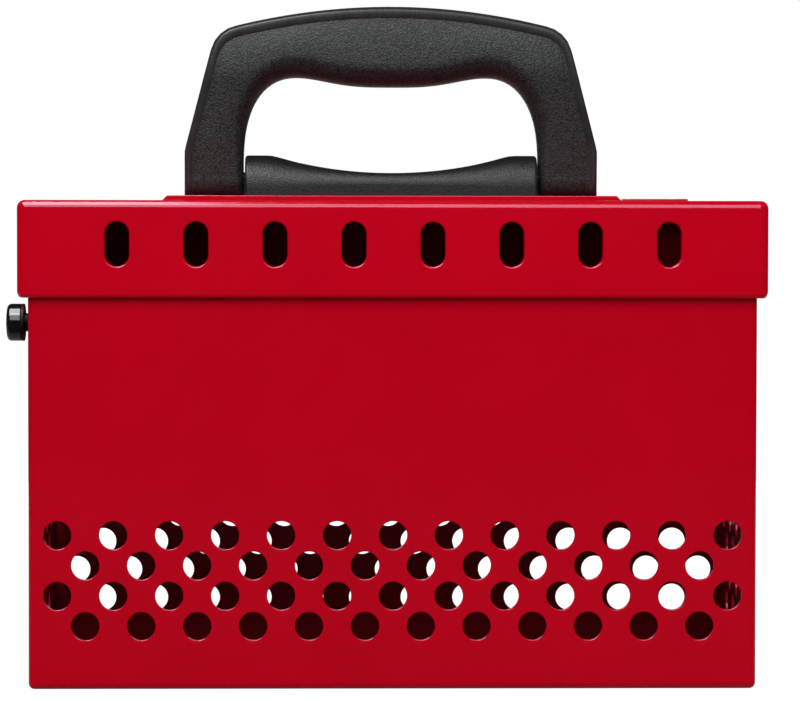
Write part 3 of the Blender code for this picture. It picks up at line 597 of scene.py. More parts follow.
def padlock_slots(height):
    """The row of slots, their centres at this height on a wall or this far back on the lid's top."""
    places = [(i - (SLOT_COUNT - 1) / 2) * SLOT_PITCH for i in range(SLOT_COUNT)]
    return [stadium((x, height), SLOT_WIDTH, SLOT_LENGTH) for x in places]


def perforations(half_width):
    """Circles in staggered rows, as many as the wall's width takes, each second row one longer."""
    outlines = []
    long_row = 1 + int((2 * half_width - 2 * HOLE_MARGIN) / HOLE_PITCH)
    for row in range(ROW_COUNT):
        count = long_row - 1 if row % 2 == 0 else long_row
        height = FIRST_ROW_HEIGHT + row * ROW_PITCH
        for i in range(count):
            outlines.append(circle(((i - (count - 1) / 2) * HOLE_PITCH, height), HOLE_DIAMETER / 2))
    return outlines


def wrap_rows(inset, lean):
    """(y, z) down the front wall, round both bends and up the back wall, this far inside the outer face."""
    wall = WALL_HALF_DEPTH - inset
    radius = BODY_BEND - inset
    rim = []
    for y, z in arc((-BODY_RIM, BODY_TOP - BODY_RIM), BODY_RIM, 0.0, 90.0, RIM_STEPS):
        rim.append((wall + lean * y, z))
    front = arc((-WALL_HALF_DEPTH + BODY_BEND, BODY_BEND), radius, 180.0, 270.0, BEND_STEPS)
    back = arc((WALL_HALF_DEPTH - BODY_BEND, BODY_BEND), radius, 270.0, 360.0, BEND_STEPS)
    return [(-y, z) for y, z in reversed(rim)] + front + back + rim


def wrap_columns(bm, inset, lean):
    """Points of one face of the folded sheet, column by column from its left to its right curled side."""
    side = WALL_HALF_WIDTH - BODY_CORNER
    radius = BODY_CORNER - inset
    right = []
    for turn in quarter(CURL_STEPS):
        rows = wrap_rows(inset + radius * (1 - math.cos(turn)), lean)
        right.append([(side + radius * math.sin(turn), y, z) for y, z in rows])
    left = [[(-x, y, z) for x, y, z in column] for column in reversed(right)]
    return [[bm.verts.new(point) for point in column] for column in left + right]


def wrap_faces(bm, outer, inner, flats):
    """The folded sheet's faces and edges, but not the flat stretches of its walls, which get holes."""
    last = len(outer[0]) - 1
    for columns in (outer, inner):
        for number, (near, far) in enumerate(zip(columns, columns[1:])):
            for i in range(last):
                if number != CURL_STEPS or i not in flats:
                    bm.faces.new((near[i], far[i], far[i + 1], near[i + 1]))
    for near, far in ((outer[0], inner[0]), (outer[-1], inner[-1])):
        for i in range(last):
            bm.faces.new((near[i], near[i + 1], far[i + 1], far[i]))
    for row in (0, last):
        for i in range(len(outer) - 1):
            bm.faces.new((outer[i][row], outer[i + 1][row], inner[i + 1][row], inner[i][row]))


def body_sheet():
    """Front wall, floor and back wall folded from one sheet, its sides curled round to the end walls."""
    bm = bmesh.new()
    outer = wrap_columns(bm, 0.0, 1)
    inner = wrap_columns(bm, BODY_SHEET, -1)
    front = RIM_STEPS
    back = len(outer[0]) - RIM_STEPS - 2
    wrap_faces(bm, outer, inner, (front, back))
    walls = ((front, padlock_slots(SLOT_Z), -WALL_HALF_DEPTH, 1), (back, [], WALL_HALF_DEPTH, -1))
    for row, slots, outside, inward in walls:
        borders = []
        for columns in (outer, inner):
            left, right = columns[CURL_STEPS], columns[CURL_STEPS + 1]
            borders.append([left[row], left[row + 1], right[row + 1], right[row]])
        holes = perforations(WALL_HALF_WIDTH) + slots
        punched(bm, borders, holes, sheet_plane("Y", outside, inward), BODY_SHEET, BODY_RIM)
    # Inside faces get the darker copy of the coat: painted shade
    paint_shade_inside(bm, *BODY_INSIDE)
    piece("body_sheet", bm, "body", "red_coat", "body_wrap", "red_coat_body", "red_coat_painted_shade_inside")


def end_wall(side, node):
    """An end wall between the front, the floor and the back, its left one with a bore for the button."""
    bm = bmesh.new()
    half = WALL_HALF_DEPTH - BODY_CORNER - END_SEAM
    outline = rectangle((-half, BODY_CORNER + END_SEAM), (half, BODY_TOP))
    holes = perforations(WALL_HALF_DEPTH)
    if side < 0:
        holes.append(circle((0, BUTTON_Z), GUIDE_RADIUS + END_SEAM))
    flat_sheet(bm, outline, holes, sheet_plane("X", side * WALL_HALF_WIDTH, -side), BODY_SHEET, BODY_RIM)
    # Inside faces get the darker copy of the coat: painted shade
    paint_shade_inside(bm, *BODY_INSIDE)
    piece(node + "_sheet", bm, "body", "red_coat", node, "red_coat_body", "red_coat_painted_shade_inside")


# Lid


def lid_stations():
    """Corner signs, angle and shift along the side of each point round the lid, counter-clockwise."""
    shifts = [LID_CUT * i / CUT_STEPS for i in range(1, CUT_STEPS + 1)]
    stations = []
    for turn, corner in enumerate(((1, -1), (1, 1), (-1, 1), (-1, -1))):
        angles = [90.0 * (turn - 1) + 90.0 * i / BEND_STEPS for i in range(BEND_STEPS + 1)]
        if turn == 3:
            stations += [(corner, angles[0], shift) for shift in reversed(shifts)]
        stations += [(corner, angle, 0.0) for angle in angles]
        if turn == 0:
            stations += [(corner, angles[-1], shift) for shift in shifts]
    return stations


def corner_cut(corner, angle, shift):
    """How far the skirt's lower edge rises at a station: in the cuts by the front corners and at the back."""
    if corner[1] > 0:
        return BOX_HEIGHT - BACK_SKIRT - SKIRT_BOTTOM if angle == 90.0 else 0.0
    from_side = abs(angle) if corner[0] > 0 else angle - 180.0
    distance = abs(LID_CORNER * math.radians(from_side) - shift - LID_SEAM)
    if distance >= LID_CUT:
        return 0.0
    return LID_CUT - math.sqrt(LID_CUT**2 - (LID_CUT - distance) ** 2)


def lid_ring(bm, stations, inset, height, rises=None):
    """Points round the lid at a height, this far inside its outer walls."""
    ring = []
    shared = {}
    radius = max(LID_CORNER - inset, 0.0)
    for i, (corner, angle, shift) in enumerate(stations):
        if radius == 0 and shift == 0 and corner in shared:
            ring.append(shared[corner])
            continue
        x = corner[0] * (LID_HALF_WIDTH - max(LID_CORNER, inset)) + radius * math.cos(math.radians(angle))
        y = corner[1] * (LID_HALF_DEPTH - max(LID_CORNER, inset)) + radius * math.sin(math.radians(angle))
        vert = bm.verts.new((x, y + shift, height + (rises[i] if rises else 0.0)))
        if shift == 0:
            shared[corner] = vert
        ring.append(vert)
    return ring


def lid_face(bm, stations, rises, inset, radius):
    """One face of the folded lid but its front and its top: its lower edge, and the borders of those two."""
    low = lid_ring(bm, stations, inset, SKIRT_BOTTOM + LID_HEM, rises)
    rings = [low]
    for turn in quarter(BEND_STEPS):
        drawn_in = inset + radius * (1 - math.cos(turn))
        rings.append(lid_ring(bm, stations, drawn_in, BOX_HEIGHT - LID_BEND + radius * math.sin(turn)))
    for row, (near, far) in enumerate(zip(rings, rings[1:])):
        for i in range(len(stations)):
            j = (i + 1) % len(stations)
            corners = list(dict.fromkeys((near[i], near[j], far[j], far[i])))
            is_front = row == 0 and j == 0
            if len(corners) > 2 and not is_front:
                bm.faces.new(corners)
    front = [low[-1], low[0], rings[1][0], rings[1][-1]]
    return low, front, list(dict.fromkeys(rings[-1]))


def lid_sheet():
    """The lid: skirts, bends and top folded from one sheet, its back skirt short for the hinge."""
    bm = bmesh.new()
    stations = lid_stations()
    rises = [corner_cut(*station) for station in stations]
    outside = lid_face(bm, stations, rises, 0.0, LID_BEND)
    inside = lid_face(bm, stations, rises, LID_SHEET, LID_BEND - LID_SHEET)
    edges, fronts, tops = zip(outside, inside)
    punched(bm, fronts, padlock_slots(SLOT_Z), sheet_plane("Y", -LID_HALF_DEPTH, 1), LID_SHEET, LID_RIM)
    key_slot = stadium(PLATE_CENTRE, KEY_SLOT_WIDTH + 2 * GAP, KEY_SLOT_LENGTH + 2 * GAP)
    openings = padlock_slots(SLOT_Y) + [key_slot]
    punched(bm, tops, openings, sheet_plane("Z", BOX_HEIGHT, -1), LID_SHEET, LID_RIM)
    hem = rim_profile(LID_SHEET, LID_HEM, LID_HEM_DEPTH, HEM_STEPS)
    lower_edge(bm, *edges, LID_SHEET, hem)
    paint_shade_inside(bm, *LID_INSIDE)
    # The lid's outside gets the lighter copy of the coat as painted light, its inside the darker copy as
    # painted shade
    piece("lid_sheet", bm, "lid", "red_coat", "lid_shell", "red_coat_painted_light_lid", "red_coat_painted_shade_inside")


def key_plate():
    """The thin frame that lies round the key slot."""
    bm = bmesh.new()
    outline = rounded_rectangle(PLATE_LOW, PLATE_HIGH, PLATE_CORNER)
    slot = stadium(PLATE_CENTRE, KEY_SLOT_WIDTH, KEY_SLOT_LENGTH)
    plane = sheet_plane("Z", PLATE_HIGH.z, -1)
    flat_sheet(bm, outline, [slot], plane, PLATE_HIGH.z - BOX_HEIGHT, PLATE_RIM)
    piece("key_plate", bm, "lid", "red_coat", "key_slot_plate", "red_coat_body")


def raised_pad():
    """The stiffening plate under the handle, with sloping ends and softened edges."""
    bm = bmesh.new()
    thickness = PAD_HIGH.z - BOX_HEIGHT
    half = PAD_HIGH.x
    outline = [(-half, BOX_HEIGHT), (half, BOX_HEIGHT), (half - thickness, PAD_HIGH.z)]
    outline.append((-half + thickness, PAD_HIGH.z))
    prism(bm, outline, "Y", PAD_LOW.y, PAD_HIGH.y)
    upper = [edge for edge in bm.edges if max(vert.co.z for vert in edge.verts) > PAD_HIGH.z - thickness / 2]
    bmesh.ops.bevel(bm, geom=upper, offset=PAD_EDGE, segments=RIM_STEPS, profile=ROUND_BEVEL, affect="EDGES")
    piece("raised_pad", bm, "lid", "red_coat", "handle_pad", "red_coat_body")


# Handle base


def base_top(x):
    """Height of the base's top: level over the pivots and hollow between them, with soft turns."""
    start = BASE_HIGH.x - BASE_END_LENGTH
    total = 0.0
    for i in range(SOFTENING_STEPS):
        place = abs(x) + SOFTENING * (2 * i / (SOFTENING_STEPS - 1) - 1)
        total += BASE_HOLLOW * (1 - min(abs(place) / start, 1.0) ** BASE_CURVE_POWER)
    return BASE_HIGH.z - total / SOFTENING_STEPS


def base_section(x, inset):
    """(x, y, z) over the base's top from its back foot to its front foot."""
    half = BASE_HIGH.y - inset
    top = base_top(x) - inset
    share = (top - PAD_HIGH.z - BASE_MIDDLE_HEIGHT) / (BASE_HIGH.z - PAD_HIGH.z - BASE_MIDDLE_HEIGHT)
    radius = between(BASE_ROUND_LOW, BASE_ROUND, max(share, 0.0))
    reach = min(radius, half)
    rise = min(radius, top - PAD_HIGH.z - BASE_FOOT)
    back = [(half, PAD_HIGH.z)]
    for y, z in arc((0, 0), 1.0, 0.0, 90.0, SECTION_STEPS):
        back.append((half - reach + reach * y, top - rise + rise * z))
    front = [(-y, z) for y, z in reversed(back[:-1])]
    return [(x, y, z) for y, z in back + front]


def base_block():
    """The base: rounded over its length, with a collar round each pin in the gap to the leg."""
    bm = bmesh.new()
    end = []
    for turn in quarter(SECTION_STEPS):
        x = BASE_HIGH.x - BASE_END_ROUND * (1 - math.sin(turn))
        end.append((x, BASE_END_ROUND * (1 - math.cos(turn))))
    middle_half = BASE_HIGH.x - BASE_END_ROUND
    middle = [(middle_half * (1 - 2 * i / BASE_LENGTH_STEPS), 0.0) for i in range(1, BASE_LENGTH_STEPS)]
    places = end[::-1] + middle + [(-x, inset) for x, inset in end]
    loft(bm, [base_section(x, inset) for x, inset in places])
    foot = PAD_HIGH.z + FOOT_CLEARANCE
    collar = arc((0, PIVOT_Z), BOSS_RADIUS, 0.0, 180.0, BOSS_STEPS)
    collar += [(-BOSS_RADIUS, foot), (BOSS_RADIUS, foot)]
    for side in (-1, 1):
        prism(bm, collar, "X", side * middle_half, side * (BASE_HIGH.x + BOSS_REACH))
    # The base gets a darker copy of the grip's pebbled plastic: painted shade
    piece("base_block", bm, "lid", "matte_black", "handle_base", "pebbled_black_painted_shade_base")


# Handle grip


def grip_outer():
    """Right half of the grip's outer edge in (x, z), from its foot up to the middle of the crown."""
    knee = (GRIP_HIGH.x, PIVOT_Z + LEG_STRAIGHT)
    crown = (0.0, PIVOT_Z + CROWN_RISE - CROWN_RADIUS)
    side = math.degrees(math.atan2(SHOULDER_RISE - LEG_STRAIGHT, -SHOULDER_LEAN)) - 90.0
    lean = math.radians(side)
    within = CROWN_RADIUS - SHOULDER_RADIUS
    step_in = knee[0] * math.cos(lean) + (knee[1] - crown[1]) * math.sin(lean) - SHOULDER_RADIUS
    turn = lean + math.acos(step_in / within)
    shoulder = (within * math.cos(turn), crown[1] + within * math.sin(turn))
    run = KNEE_RADIUS * math.tan(lean / 2)
    path = [(knee[0], GRIP_LOW.z - PATH_OVERRUN)]
    path += arc((knee[0] - KNEE_RADIUS, knee[1] - run), KNEE_RADIUS, 0.0, side, CURVE_STEPS)
    path += arc(shoulder, SHOULDER_RADIUS, side, math.degrees(turn), CURVE_STEPS)
    return path + arc(crown, CROWN_RADIUS, math.degrees(turn), 90.0 + CROWN_OVERRUN, CURVE_STEPS)


def grip_inner():
    """Right half of the finger opening's edge, from the foot over the arch's corner to its middle."""
    path = [(LEG_INSIDE, GRIP_LOW.z - PATH_OVERRUN)]
    for x, z in arc((0, 0), 1.0, 0.0, 90.0, CURVE_STEPS):
        across = ARCH_CORNER[0] + ARCH_CORNER_WIDTH * max(x, 0.0) ** ARCH_SIDE_POWER
        path.append((across, ARCH_CORNER[1] + ARCH_CORNER_HEIGHT * max(z, 0.0) ** ARCH_TOP_POWER))
    for i in range(1, CURVE_STEPS + 1):
        share = 1 - i / CURVE_STEPS
        drop = BELLY_DROP * (1 + math.cos(math.pi * share**BELLY_POWER)) / 2
        path.append((ARCH_CORNER[0] * share, PIVOT_Z + ARCH_RISE - drop))
    return path + [(-PATH_OVERRUN, path[-1][1])]


def hit(origin, towards, path):
    """Where a ray meets a path of points, in millimetres for the precision of the test."""
    start = Vector(origin) / MM
    end = start + RAY_LENGTH / MM * Vector(towards)
    for near, far in zip(path, path[1:]):
        met = intersect_line_line_2d(start, end, Vector(near) / MM, Vector(far) / MM)
        if met:
            return met * MM
    raise ValueError("a ray of the grip misses its outline")


def grip_rays():
    """Rays across the right half of the grip, from its foot to the middle of the crown."""
    x, z = ARCH_CORNER
    foot = [PIVOT_Z - FOOT_DROP * math.cos(turn) for turn in quarter(FOOT_STEPS)[1:]]
    leg = [between(PIVOT_Z, z, i / LEG_STEPS) for i in range(1, LEG_STEPS)]
    rays = [((x, height), (1.0, 0.0)) for height in foot + leg]
    rays += [((x, z), towards) for towards in arc((0, 0), 1.0, 0.0, 90.0, CURVE_STEPS)]
    return rays + [((x * (1 - i / CROWN_STEPS), z), (0.0, 1.0)) for i in range(1, CROWN_STEPS + 1)]


def grip_half_depth(z):
    """Half of the grip's depth at a height: round about the pivot, then widening to the crown's."""
    if z < PIVOT_Z:
        return FOOT_HALF * math.sqrt(max(1 - ((PIVOT_Z - z) / FOOT_DROP) ** 2, 0.0))
    return between(FOOT_HALF, GRIP_HIGH.y, min((z - PIVOT_Z) / GRIP_TAPER_RISE, 1.0))


def face_profile(length, finger_edge, edge, grown, half_depth):
    """(distance from the outer edge, depth below the face, is pebbled) across one face of the grip."""
    dome = between(LEG_DOME, CROWN_DOME, grown)
    crowning = between(GRIP_CROWNING, CROWN_CROWNING, grown)
    ridge = between(LEG_RIDGE, CROWN_RIDGE, grown)
    band = between(GRIP_BAND, CROWN_BAND, grown)
    low = crowning - GRIP_CROWNING
    groove_depth = low + between(GROOVE_DEPTH, CROWN_GROOVE_DEPTH, grown)
    band_start = dome + edge
    groove = band_start + band
    face_end = length - finger_edge
    rim = [(dome * share**2, half_depth * (1 - share)) for share in DOME_SHARES]
    rim += [(x, y + low) for x, y in arc((band_start, edge), edge, DOME_TURN, 270.0, EDGE_STEPS)]
    rim += [(band_start + band / 2, low - BEAD_RISE), (groove, low)]
    rim += [(groove + GROOVE_WIDTH / 2, groove_depth)]
    face = []
    for i in range(FACE_STEPS + 1):
        share = i / FACE_STEPS
        distance = between(groove + GROOVE_WIDTH, face_end, share)
        face.append((distance, crowning * ((share - ridge) / ridge) ** 2))
    crease = math.radians(FINGER_CREASE)
    radius = finger_edge / (1 - math.sin(crease))
    start = face_end - radius * math.sin(crease)
    floor_depth = face[-1][1] + radius * math.cos(crease)
    for x, y in arc((0, 0), radius, FINGER_CREASE, 90.0, EDGE_STEPS * 2)[1:]:
        face.append((start + y, floor_depth - x))
    return [(*point, False) for point in rim] + [(*point, True) for point in face]


def grip_section(ray, outer_path, inner_path):
    """Points of one cross-section of the grip, front face from the outer edge to the fingers, then back."""
    inner = hit(*ray, inner_path)
    outer = hit(*ray, outer_path)
    length = (outer - inner).length
    rise = min(max((inner.y - PIVOT_Z) / ARCH_RISE, 0.0), 1.0)
    grown = rise * rise * (3 - 2 * rise)
    half_depth = grip_half_depth(min(inner.y, outer.y))
    finger_edge = min(between(GRIP_FOOT_EDGE, GRIP_FINGER_EDGE, grown), half_depth / 2)
    edge = min(GRIP_EDGE, half_depth / 3)
    flatten = min(half_depth / GRIP_FLAT_DEPTH, 1.0)
    front = []
    pebbled = []
    for distance, depth, grain in face_profile(length, finger_edge, edge, grown, half_depth):
        place = outer.lerp(inner, distance / length)
        front.append(Vector((place.x, depth * flatten - grip_half_depth(place.y), place.y)))
        pebbled.append(grain)
    back = [Vector((point.x, -point.y, point.z)) for point in reversed(front)]
    return front + back, pebbled


def grip_shape():
    """The carrying grip: smooth rims, pebbled faces and a deep round on the finger side."""
    bm = bmesh.new()
    paths = grip_outer(), grip_inner()
    built = [grip_section(ray, *paths) for ray in grip_rays()]
    right = [section for section, _ in built]
    left = [[Vector((-point.x, point.y, point.z)) for point in section] for section in reversed(right[:-1])]
    loft(bm, right + left)
    pebbled = built[0][1] + built[0][1][::-1]
    count = len(pebbled)
    for number, face in enumerate(bm.faces):
        i = number % count
        face.material_index = 1 if pebbled[i] and pebbled[(i + 1) % count] else 0
    piece("grip_shape", bm, "handle", "matte_black", "handle_grip", "smooth_black", "pebbled_black_grip")


# Push button and latch


def scored(radius, place):
    """(radius, place) across a fine line turned into a round surface."""
    return [(radius, place - HEAD_LINE), (radius - HEAD_LINE, place), (radius, place + HEAD_LINE)]


def button_profile(radius, out, back):
    """(radius, place) from the middle of the domed head over its rim and hollow back to the stem's end."""
    crown = radius - HEAD_EDGE
    dish = back - HEAD_DISH
    shares = [i / SECTION_STEPS for i in range(SECTION_STEPS + 1)]
    profile = [(crown * share, out + HEAD_DOME * share**2) for share in shares]
    profile += arc((crown, out + HEAD_DOME + HEAD_EDGE), HEAD_EDGE, -90.0, 0.0, BEND_STEPS)[1:]
    profile += scored(radius, back - HEAD_RIM)
    profile += arc((radius - HEAD_LINE, back - HEAD_LINE), HEAD_LINE, 0.0, 90.0, RIM_STEPS)
    profile += [(STEM_RADIUS + HEAD_LINE, dish), (STEM_RADIUS, dish + HEAD_LINE)]
    for i in range(NECK_RINGS):
        profile += scored(STEM_RADIUS, back + NECK_PITCH * (i + 1))
    clip_low, clip_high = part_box("button_clip")
    start = clip_low.x - GAP
    end = clip_high.x + GAP
    groove = STEM_RADIUS - CLIP_GROOVE
    profile += [(STEM_RADIUS, start), (groove, start), (groove, end), (STEM_RADIUS, end)]
    tip = BUTTON_HIGH.x
    return profile + [(STEM_RADIUS, tip - HEAD_LINE), (STEM_RADIUS - HEAD_LINE, tip), (0, tip)]


def button_head():
    """Push button: a domed head, and from its rim inwards the duller finish."""
    bm = bmesh.new()
    back = BUTTON_LOW.x + HEAD_LENGTH
    turned(bm, button_profile(BUTTON_HIGH.z - BUTTON_Z, BUTTON_LOW.x, back), "X", (0, BUTTON_Z))
    for face in bm.faces:
        if face.calc_center_median().x > back - HEAD_RIM:
            face.material_index = 1
    piece("button_head", bm, "button", "gloss_black", "push_button", "gloss_black", "dull_black")


def guide_sleeve():
    """The flanged sleeve in the end wall, its outer end level with the wall."""
    low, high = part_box("button_guide")
    bore = STEM_RADIUS + GAP
    wide = high.y
    wall = low.x + BODY_SHEET
    flange = wall + GUIDE_FLANGE
    profile = [(bore, low.x + EDGE), (bore + EDGE, low.x), (GUIDE_RADIUS, low.x), (GUIDE_RADIUS, wall)]
    profile += [(wide, wall), (wide, flange - EDGE), (wide - EDGE, flange), (GUIDE_RADIUS, flange)]
    profile += [(GUIDE_RADIUS, high.x - EDGE), (GUIDE_RADIUS - EDGE, high.x), (bore, high.x)]
    turned_piece("guide_sleeve", profile, "X", (0, BUTTON_Z), "body", "gloss_black", "button_guide")


def clip_ring():
    """The open ring that holds the stem behind the guide."""
    bm = bmesh.new()
    low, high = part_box("button_clip")
    start = 90.0 - CLIP_SWEEP / 2
    end = start + CLIP_SWEEP
    outline = arc((0, BUTTON_Z), high.y, start, end, ROUND_SIDES)
    outline += arc((0, BUTTON_Z), STEM_RADIUS - CLIP_GROOVE + GAP, end, start, ROUND_SIDES)
    prism(bm, outline, "X", low.x, high.x)
    piece("clip_ring", bm, "button", "spring_steel", "button_clip")


def leaf_spring():
    """The latch's leaf, held by its rivets on the body and pressed by the button higher up: the imported
    solid, cut across in bands between its foot and the button.
    """
    bm = bmesh.new()
    bm.from_mesh(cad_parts["latch_spring"].data)
    bmesh.ops.remove_doubles(bm, verts=bm.verts[:], dist=WELD)
    low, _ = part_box("latch_spring")
    foot = low.z + LEAF_FOOT
    push = BUTTON_Z - STEM_RADIUS
    for step in range(1, LEAF_BENDS):
        height = foot + (push - foot) * step / LEAF_BENDS
        parts = bm.verts[:] + bm.edges[:] + bm.faces[:]
        bmesh.ops.bisect_plane(bm, geom=parts, plane_co=(0, 0, height), plane_no=(0, 0, 1))
    made = piece("leaf_spring", bm, None, "spring_steel", "latch_spring")
    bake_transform(made)


def keeper():
    """The latch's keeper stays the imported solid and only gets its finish."""
    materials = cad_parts["latch_keeper"].data.materials
    materials.clear()
    materials.append(finishes["plated_steel"])


# Fasteners


def turned_box(node, axis):
    """Both corners of a round piece's box, its middle across the axis, and its radius."""
    low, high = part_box(node)
    along = "XYZ".index(axis)
    centre = [(low[i] + high[i]) / 2 for i in range(3) if i != along]
    other = (along + 1) % 3
    return low, high, centre, (high[other] - low[other]) / 2


def rivet(node, axis, sign, seat, shank, body, slot, *materials):
    """A rivet with a domed head outside, on the side that sign gives, and a set tail inside."""
    low, high, centre, radius = turned_box(node, axis)
    along = "XYZ".index(axis)
    end, tip = (low[along], high[along])[::sign]
    tail = end + sign * TAIL_HEIGHT
    wide = TAIL_RATIO * shank
    profile = [(radius * math.sin(a), seat + (tip - seat) * math.cos(a)) for a in quarter(BEND_STEPS)]
    profile += [(shank, seat), (shank, tail), (wide, tail)]
    profile += [(wide, end + sign * EDGE), (wide - EDGE, end), (0, end)]
    turned_piece(node + "_head", profile, axis, centre, body, slot, node, *materials)


def washer(node):
    low, _, centre, radius = turned_box(node, "Z")
    bore = SCREW_RADIUS + GAP
    profile = [(bore, LID_INSIDE_TOP), (radius, LID_INSIDE_TOP), (radius, low.z + EDGE)]
    profile += [(radius - EDGE, low.z), (bore + EDGE, low.z), (bore, low.z + EDGE)]
    turned_piece(node + "_disc", profile, "Z", centre, "lid", "plated_steel", node)


def hexagon(centre, radius):
    """A hexagon with as many points as the round head that it is sunk into."""
    sixth = math.pi / 3
    points = []
    for i in range(ROUND_SIDES):
        turn = 2 * math.pi * i / ROUND_SIDES
        reach = radius * math.cos(sixth / 2) / math.cos(turn % sixth - sixth / 2)
        points.append((centre[0] + reach * math.cos(turn), centre[1] + reach * math.sin(turn)))
    return points


def pan_screw(node, washer_node):
    """A screw up into the base, its rounded head under the lid with a hexagonal socket."""
    bm = bmesh.new()
    low, high, centre, radius = turned_box(node, "Z")
    shape = [(SCREW_RADIUS, high.z), (SCREW_RADIUS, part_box(washer_node)[0].z)]
    for turn in quarter(BEND_STEPS):
        reach = radius - SCREW_ROUND * (1 - math.cos(turn))
        shape.append((reach, low.z + SCREW_ROUND * (1 - math.sin(turn))))
    outlines = [(circle(centre, reach, ROUND_SIDES)(0.0), z) for reach, z in shape]
    outlines += [(hexagon(centre, SOCKET_RADIUS), z) for z in (low.z, low.z + SOCKET_DEPTH)]
    loft(bm, [[(x, y, z) for x, y in outline] for outline, z in outlines])
    piece(node + "_head", bm, "lid", "plated_steel", node)


def rod(radius, start, end, waist=()):
    """(radius, place) along a pin with broken edges, with any waist that it has between its ends."""
    near = [(0, start), (radius - EDGE, start), (radius, start + EDGE)]
    return near + list(waist) + [(radius, end - EDGE), (radius - EDGE, end), (0, end)]


def pivot(node, side):
    """A pin between the base and a leg, slimmer where it crosses the gap."""
    low, high, _, radius = turned_box(node, "X")
    near, far = sorted((side * (BASE_HIGH.x - PIN_NECK_RUN), side * (LEG_INSIDE + PIN_NECK_RUN)))
    waist = [(radius, near), (PIN_NECK_RADIUS, near + EDGE), (PIN_NECK_RADIUS, far - EDGE), (radius, far)]
    profile = rod(radius, low.x, high.x, waist)
    turned_piece(node + "_rod", profile, "X", (0, PIVOT_Z), "lid", "plated_steel", node)


# Hinge


def knuckle_places(own):
    """Start and end along the hinge of every second knuckle; own is 0 for the body's and 1 for the lid's."""
    pitch = 2 * HINGE_HALF / KNUCKLES
    starts = [-HINGE_HALF + i * pitch for i in range(KNUCKLES) if i % 2 == own]
    return [(start + GAP / 2, start + pitch - GAP / 2) for start in starts]


def join(bm, near, far):
    """Quads between two open rows of points."""
    for i in range(len(near) - 1):
        bm.faces.new((near[i], far[i], far[i + 1], near[i + 1]))


def hinge_leaf(node, up, body):
    """A leaf rolled round the pin at its own knuckles; up is 1 for the lid's, -1 for the body's."""
    bm = bmesh.new()
    low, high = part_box(node)
    tip = high.z if up > 0 else low.z
    inner = low.y if up > 0 else WALL_HALF_DEPTH
    outer = low.y + HINGE_LEAF
    edge = HINGE_Z + up * (EYE_RADIUS + GAP)
    plate = [(inner, edge), (inner, tip), (outer, tip), (outer, edge)]
    turn = 180.0 + up * EYE_SWEEP
    eye = arc((HINGE_Y, HINGE_Z), EYE_RADIUS, 180.0, turn, EYE_STEPS)
    eye += arc((HINGE_Y, HINGE_Z), EYE_RADIUS - HINGE_LEAF, turn, 180.0, EYE_STEPS)
    knuckles = knuckle_places(1 if up > 0 else 0)
    places = sorted([-HINGE_HALF, HINGE_HALF] + [x for pair in knuckles for x in pair])
    columns = [[bm.verts.new((x, y, z)) for y, z in plate] for x in places]
    for left, right in zip(columns, columns[1:]):
        join(bm, left, right)
    bm.faces.new(columns[0])
    bm.faces.new(columns[-1])
    for left, right, start, end in zip(columns, columns[1:], places, places[1:]):
        if (start, end) not in knuckles:
            bm.faces.new((left[0], right[0], right[-1], left[-1]))
            continue
        near = [left[0]] + [bm.verts.new((start, y, z)) for y, z in eye] + [left[-1]]
        far = [right[0]] + [bm.verts.new((end, y, z)) for y, z in eye] + [right[-1]]
        bm.faces.new(near)
        bm.faces.new(far)
        join(bm, near, far)
    piece(node + "_plate", bm, body, "plated_steel", node)


def hinge_rod():
    profile = rod((PIN_HIGH.z - PIN_LOW.z) / 2, PIN_LOW.x, PIN_HIGH.x)
    turned_piece("hinge_rod", profile, "X", (HINGE_Y, HINGE_Z), "body", "plated_steel", "hinge_pin")


# Materials


def new_material(name):
    """A new material's node tree, its shader, and the place on the piece that its patterns follow."""
    material = bpy.data.materials.new(name)
    material.use_nodes = True
    finishes[name] = material
    tree = material.node_tree
    return tree, tree.nodes["Principled BSDF"], tree.nodes.new("ShaderNodeTexCoord").outputs["Object"]


def set_inputs(tree, node, values):
    """Gives inputs of a node, by name or number, a plain value or another node's output."""
    for key, value in values.items():
        if isinstance(value, bpy.types.NodeSocket):
            tree.links.new(value, node.inputs[key])
        else:
            node.inputs[key].default_value = value


def add_node(tree, kind, output, values, **settings):
    """A new node's output, after its settings and inputs."""
    node = tree.nodes.new("ShaderNode" + kind)
    for name, value in settings.items():
        setattr(node, name, value)
    set_inputs(tree, node, values)
    return node.outputs[output]


def noise(tree, place, size, detail, stretch=(1.0, 1.0, 1.0)):
    """A noise pattern whose features are about this large, in metres."""
    scale = [share / size for share in stretch]
    scaled = add_node(tree, "Mapping", "Vector", {"Vector": place, "Scale": scale})
    return add_node(tree, "TexNoise", "Fac", {"Vector": scaled, "Scale": 1.0, "Detail": detail})


def spread(tree, value, low, high, start=NOISE_LOW, end=NOISE_HIGH):
    """Maps a pattern to the range from low to high."""
    values = {"Value": value, "From Min": start, "From Max": end, "To Min": low, "To Max": high}
    return add_node(tree, "MapRange", "Result", values)


def layered(tree, place, *layers):
    """The sum of two patterns, each a grain of noise and its reach."""
    first, second = (spread(tree, noise(tree, place, *grain), *reach) for grain, reach in layers)
    return add_node(tree, "Math", "Value", {0: first, 1: second}, operation="ADD")


def mix(tree, kind, share, first, second):
    """Colours or numbers from the first to the second by a share."""
    return add_node(tree, "Mix", "Result", {"Factor": share, "A": first, "B": second}, data_type=kind)


def patches(tree, place, grain, deep, light):
    """A colour that drifts between two."""
    drift = spread(tree, noise(tree, place, *grain), 0.0, 1.0)
    return mix(tree, "RGBA", drift, (*deep, 1.0), (*light, 1.0))


def relief(tree, height, depth):
    """Relief from a pattern from 0 to 1 that is this deep in metres."""
    return add_node(tree, "Bump", "Normal", {"Height": height, "Distance": depth, "Strength": 1.0})


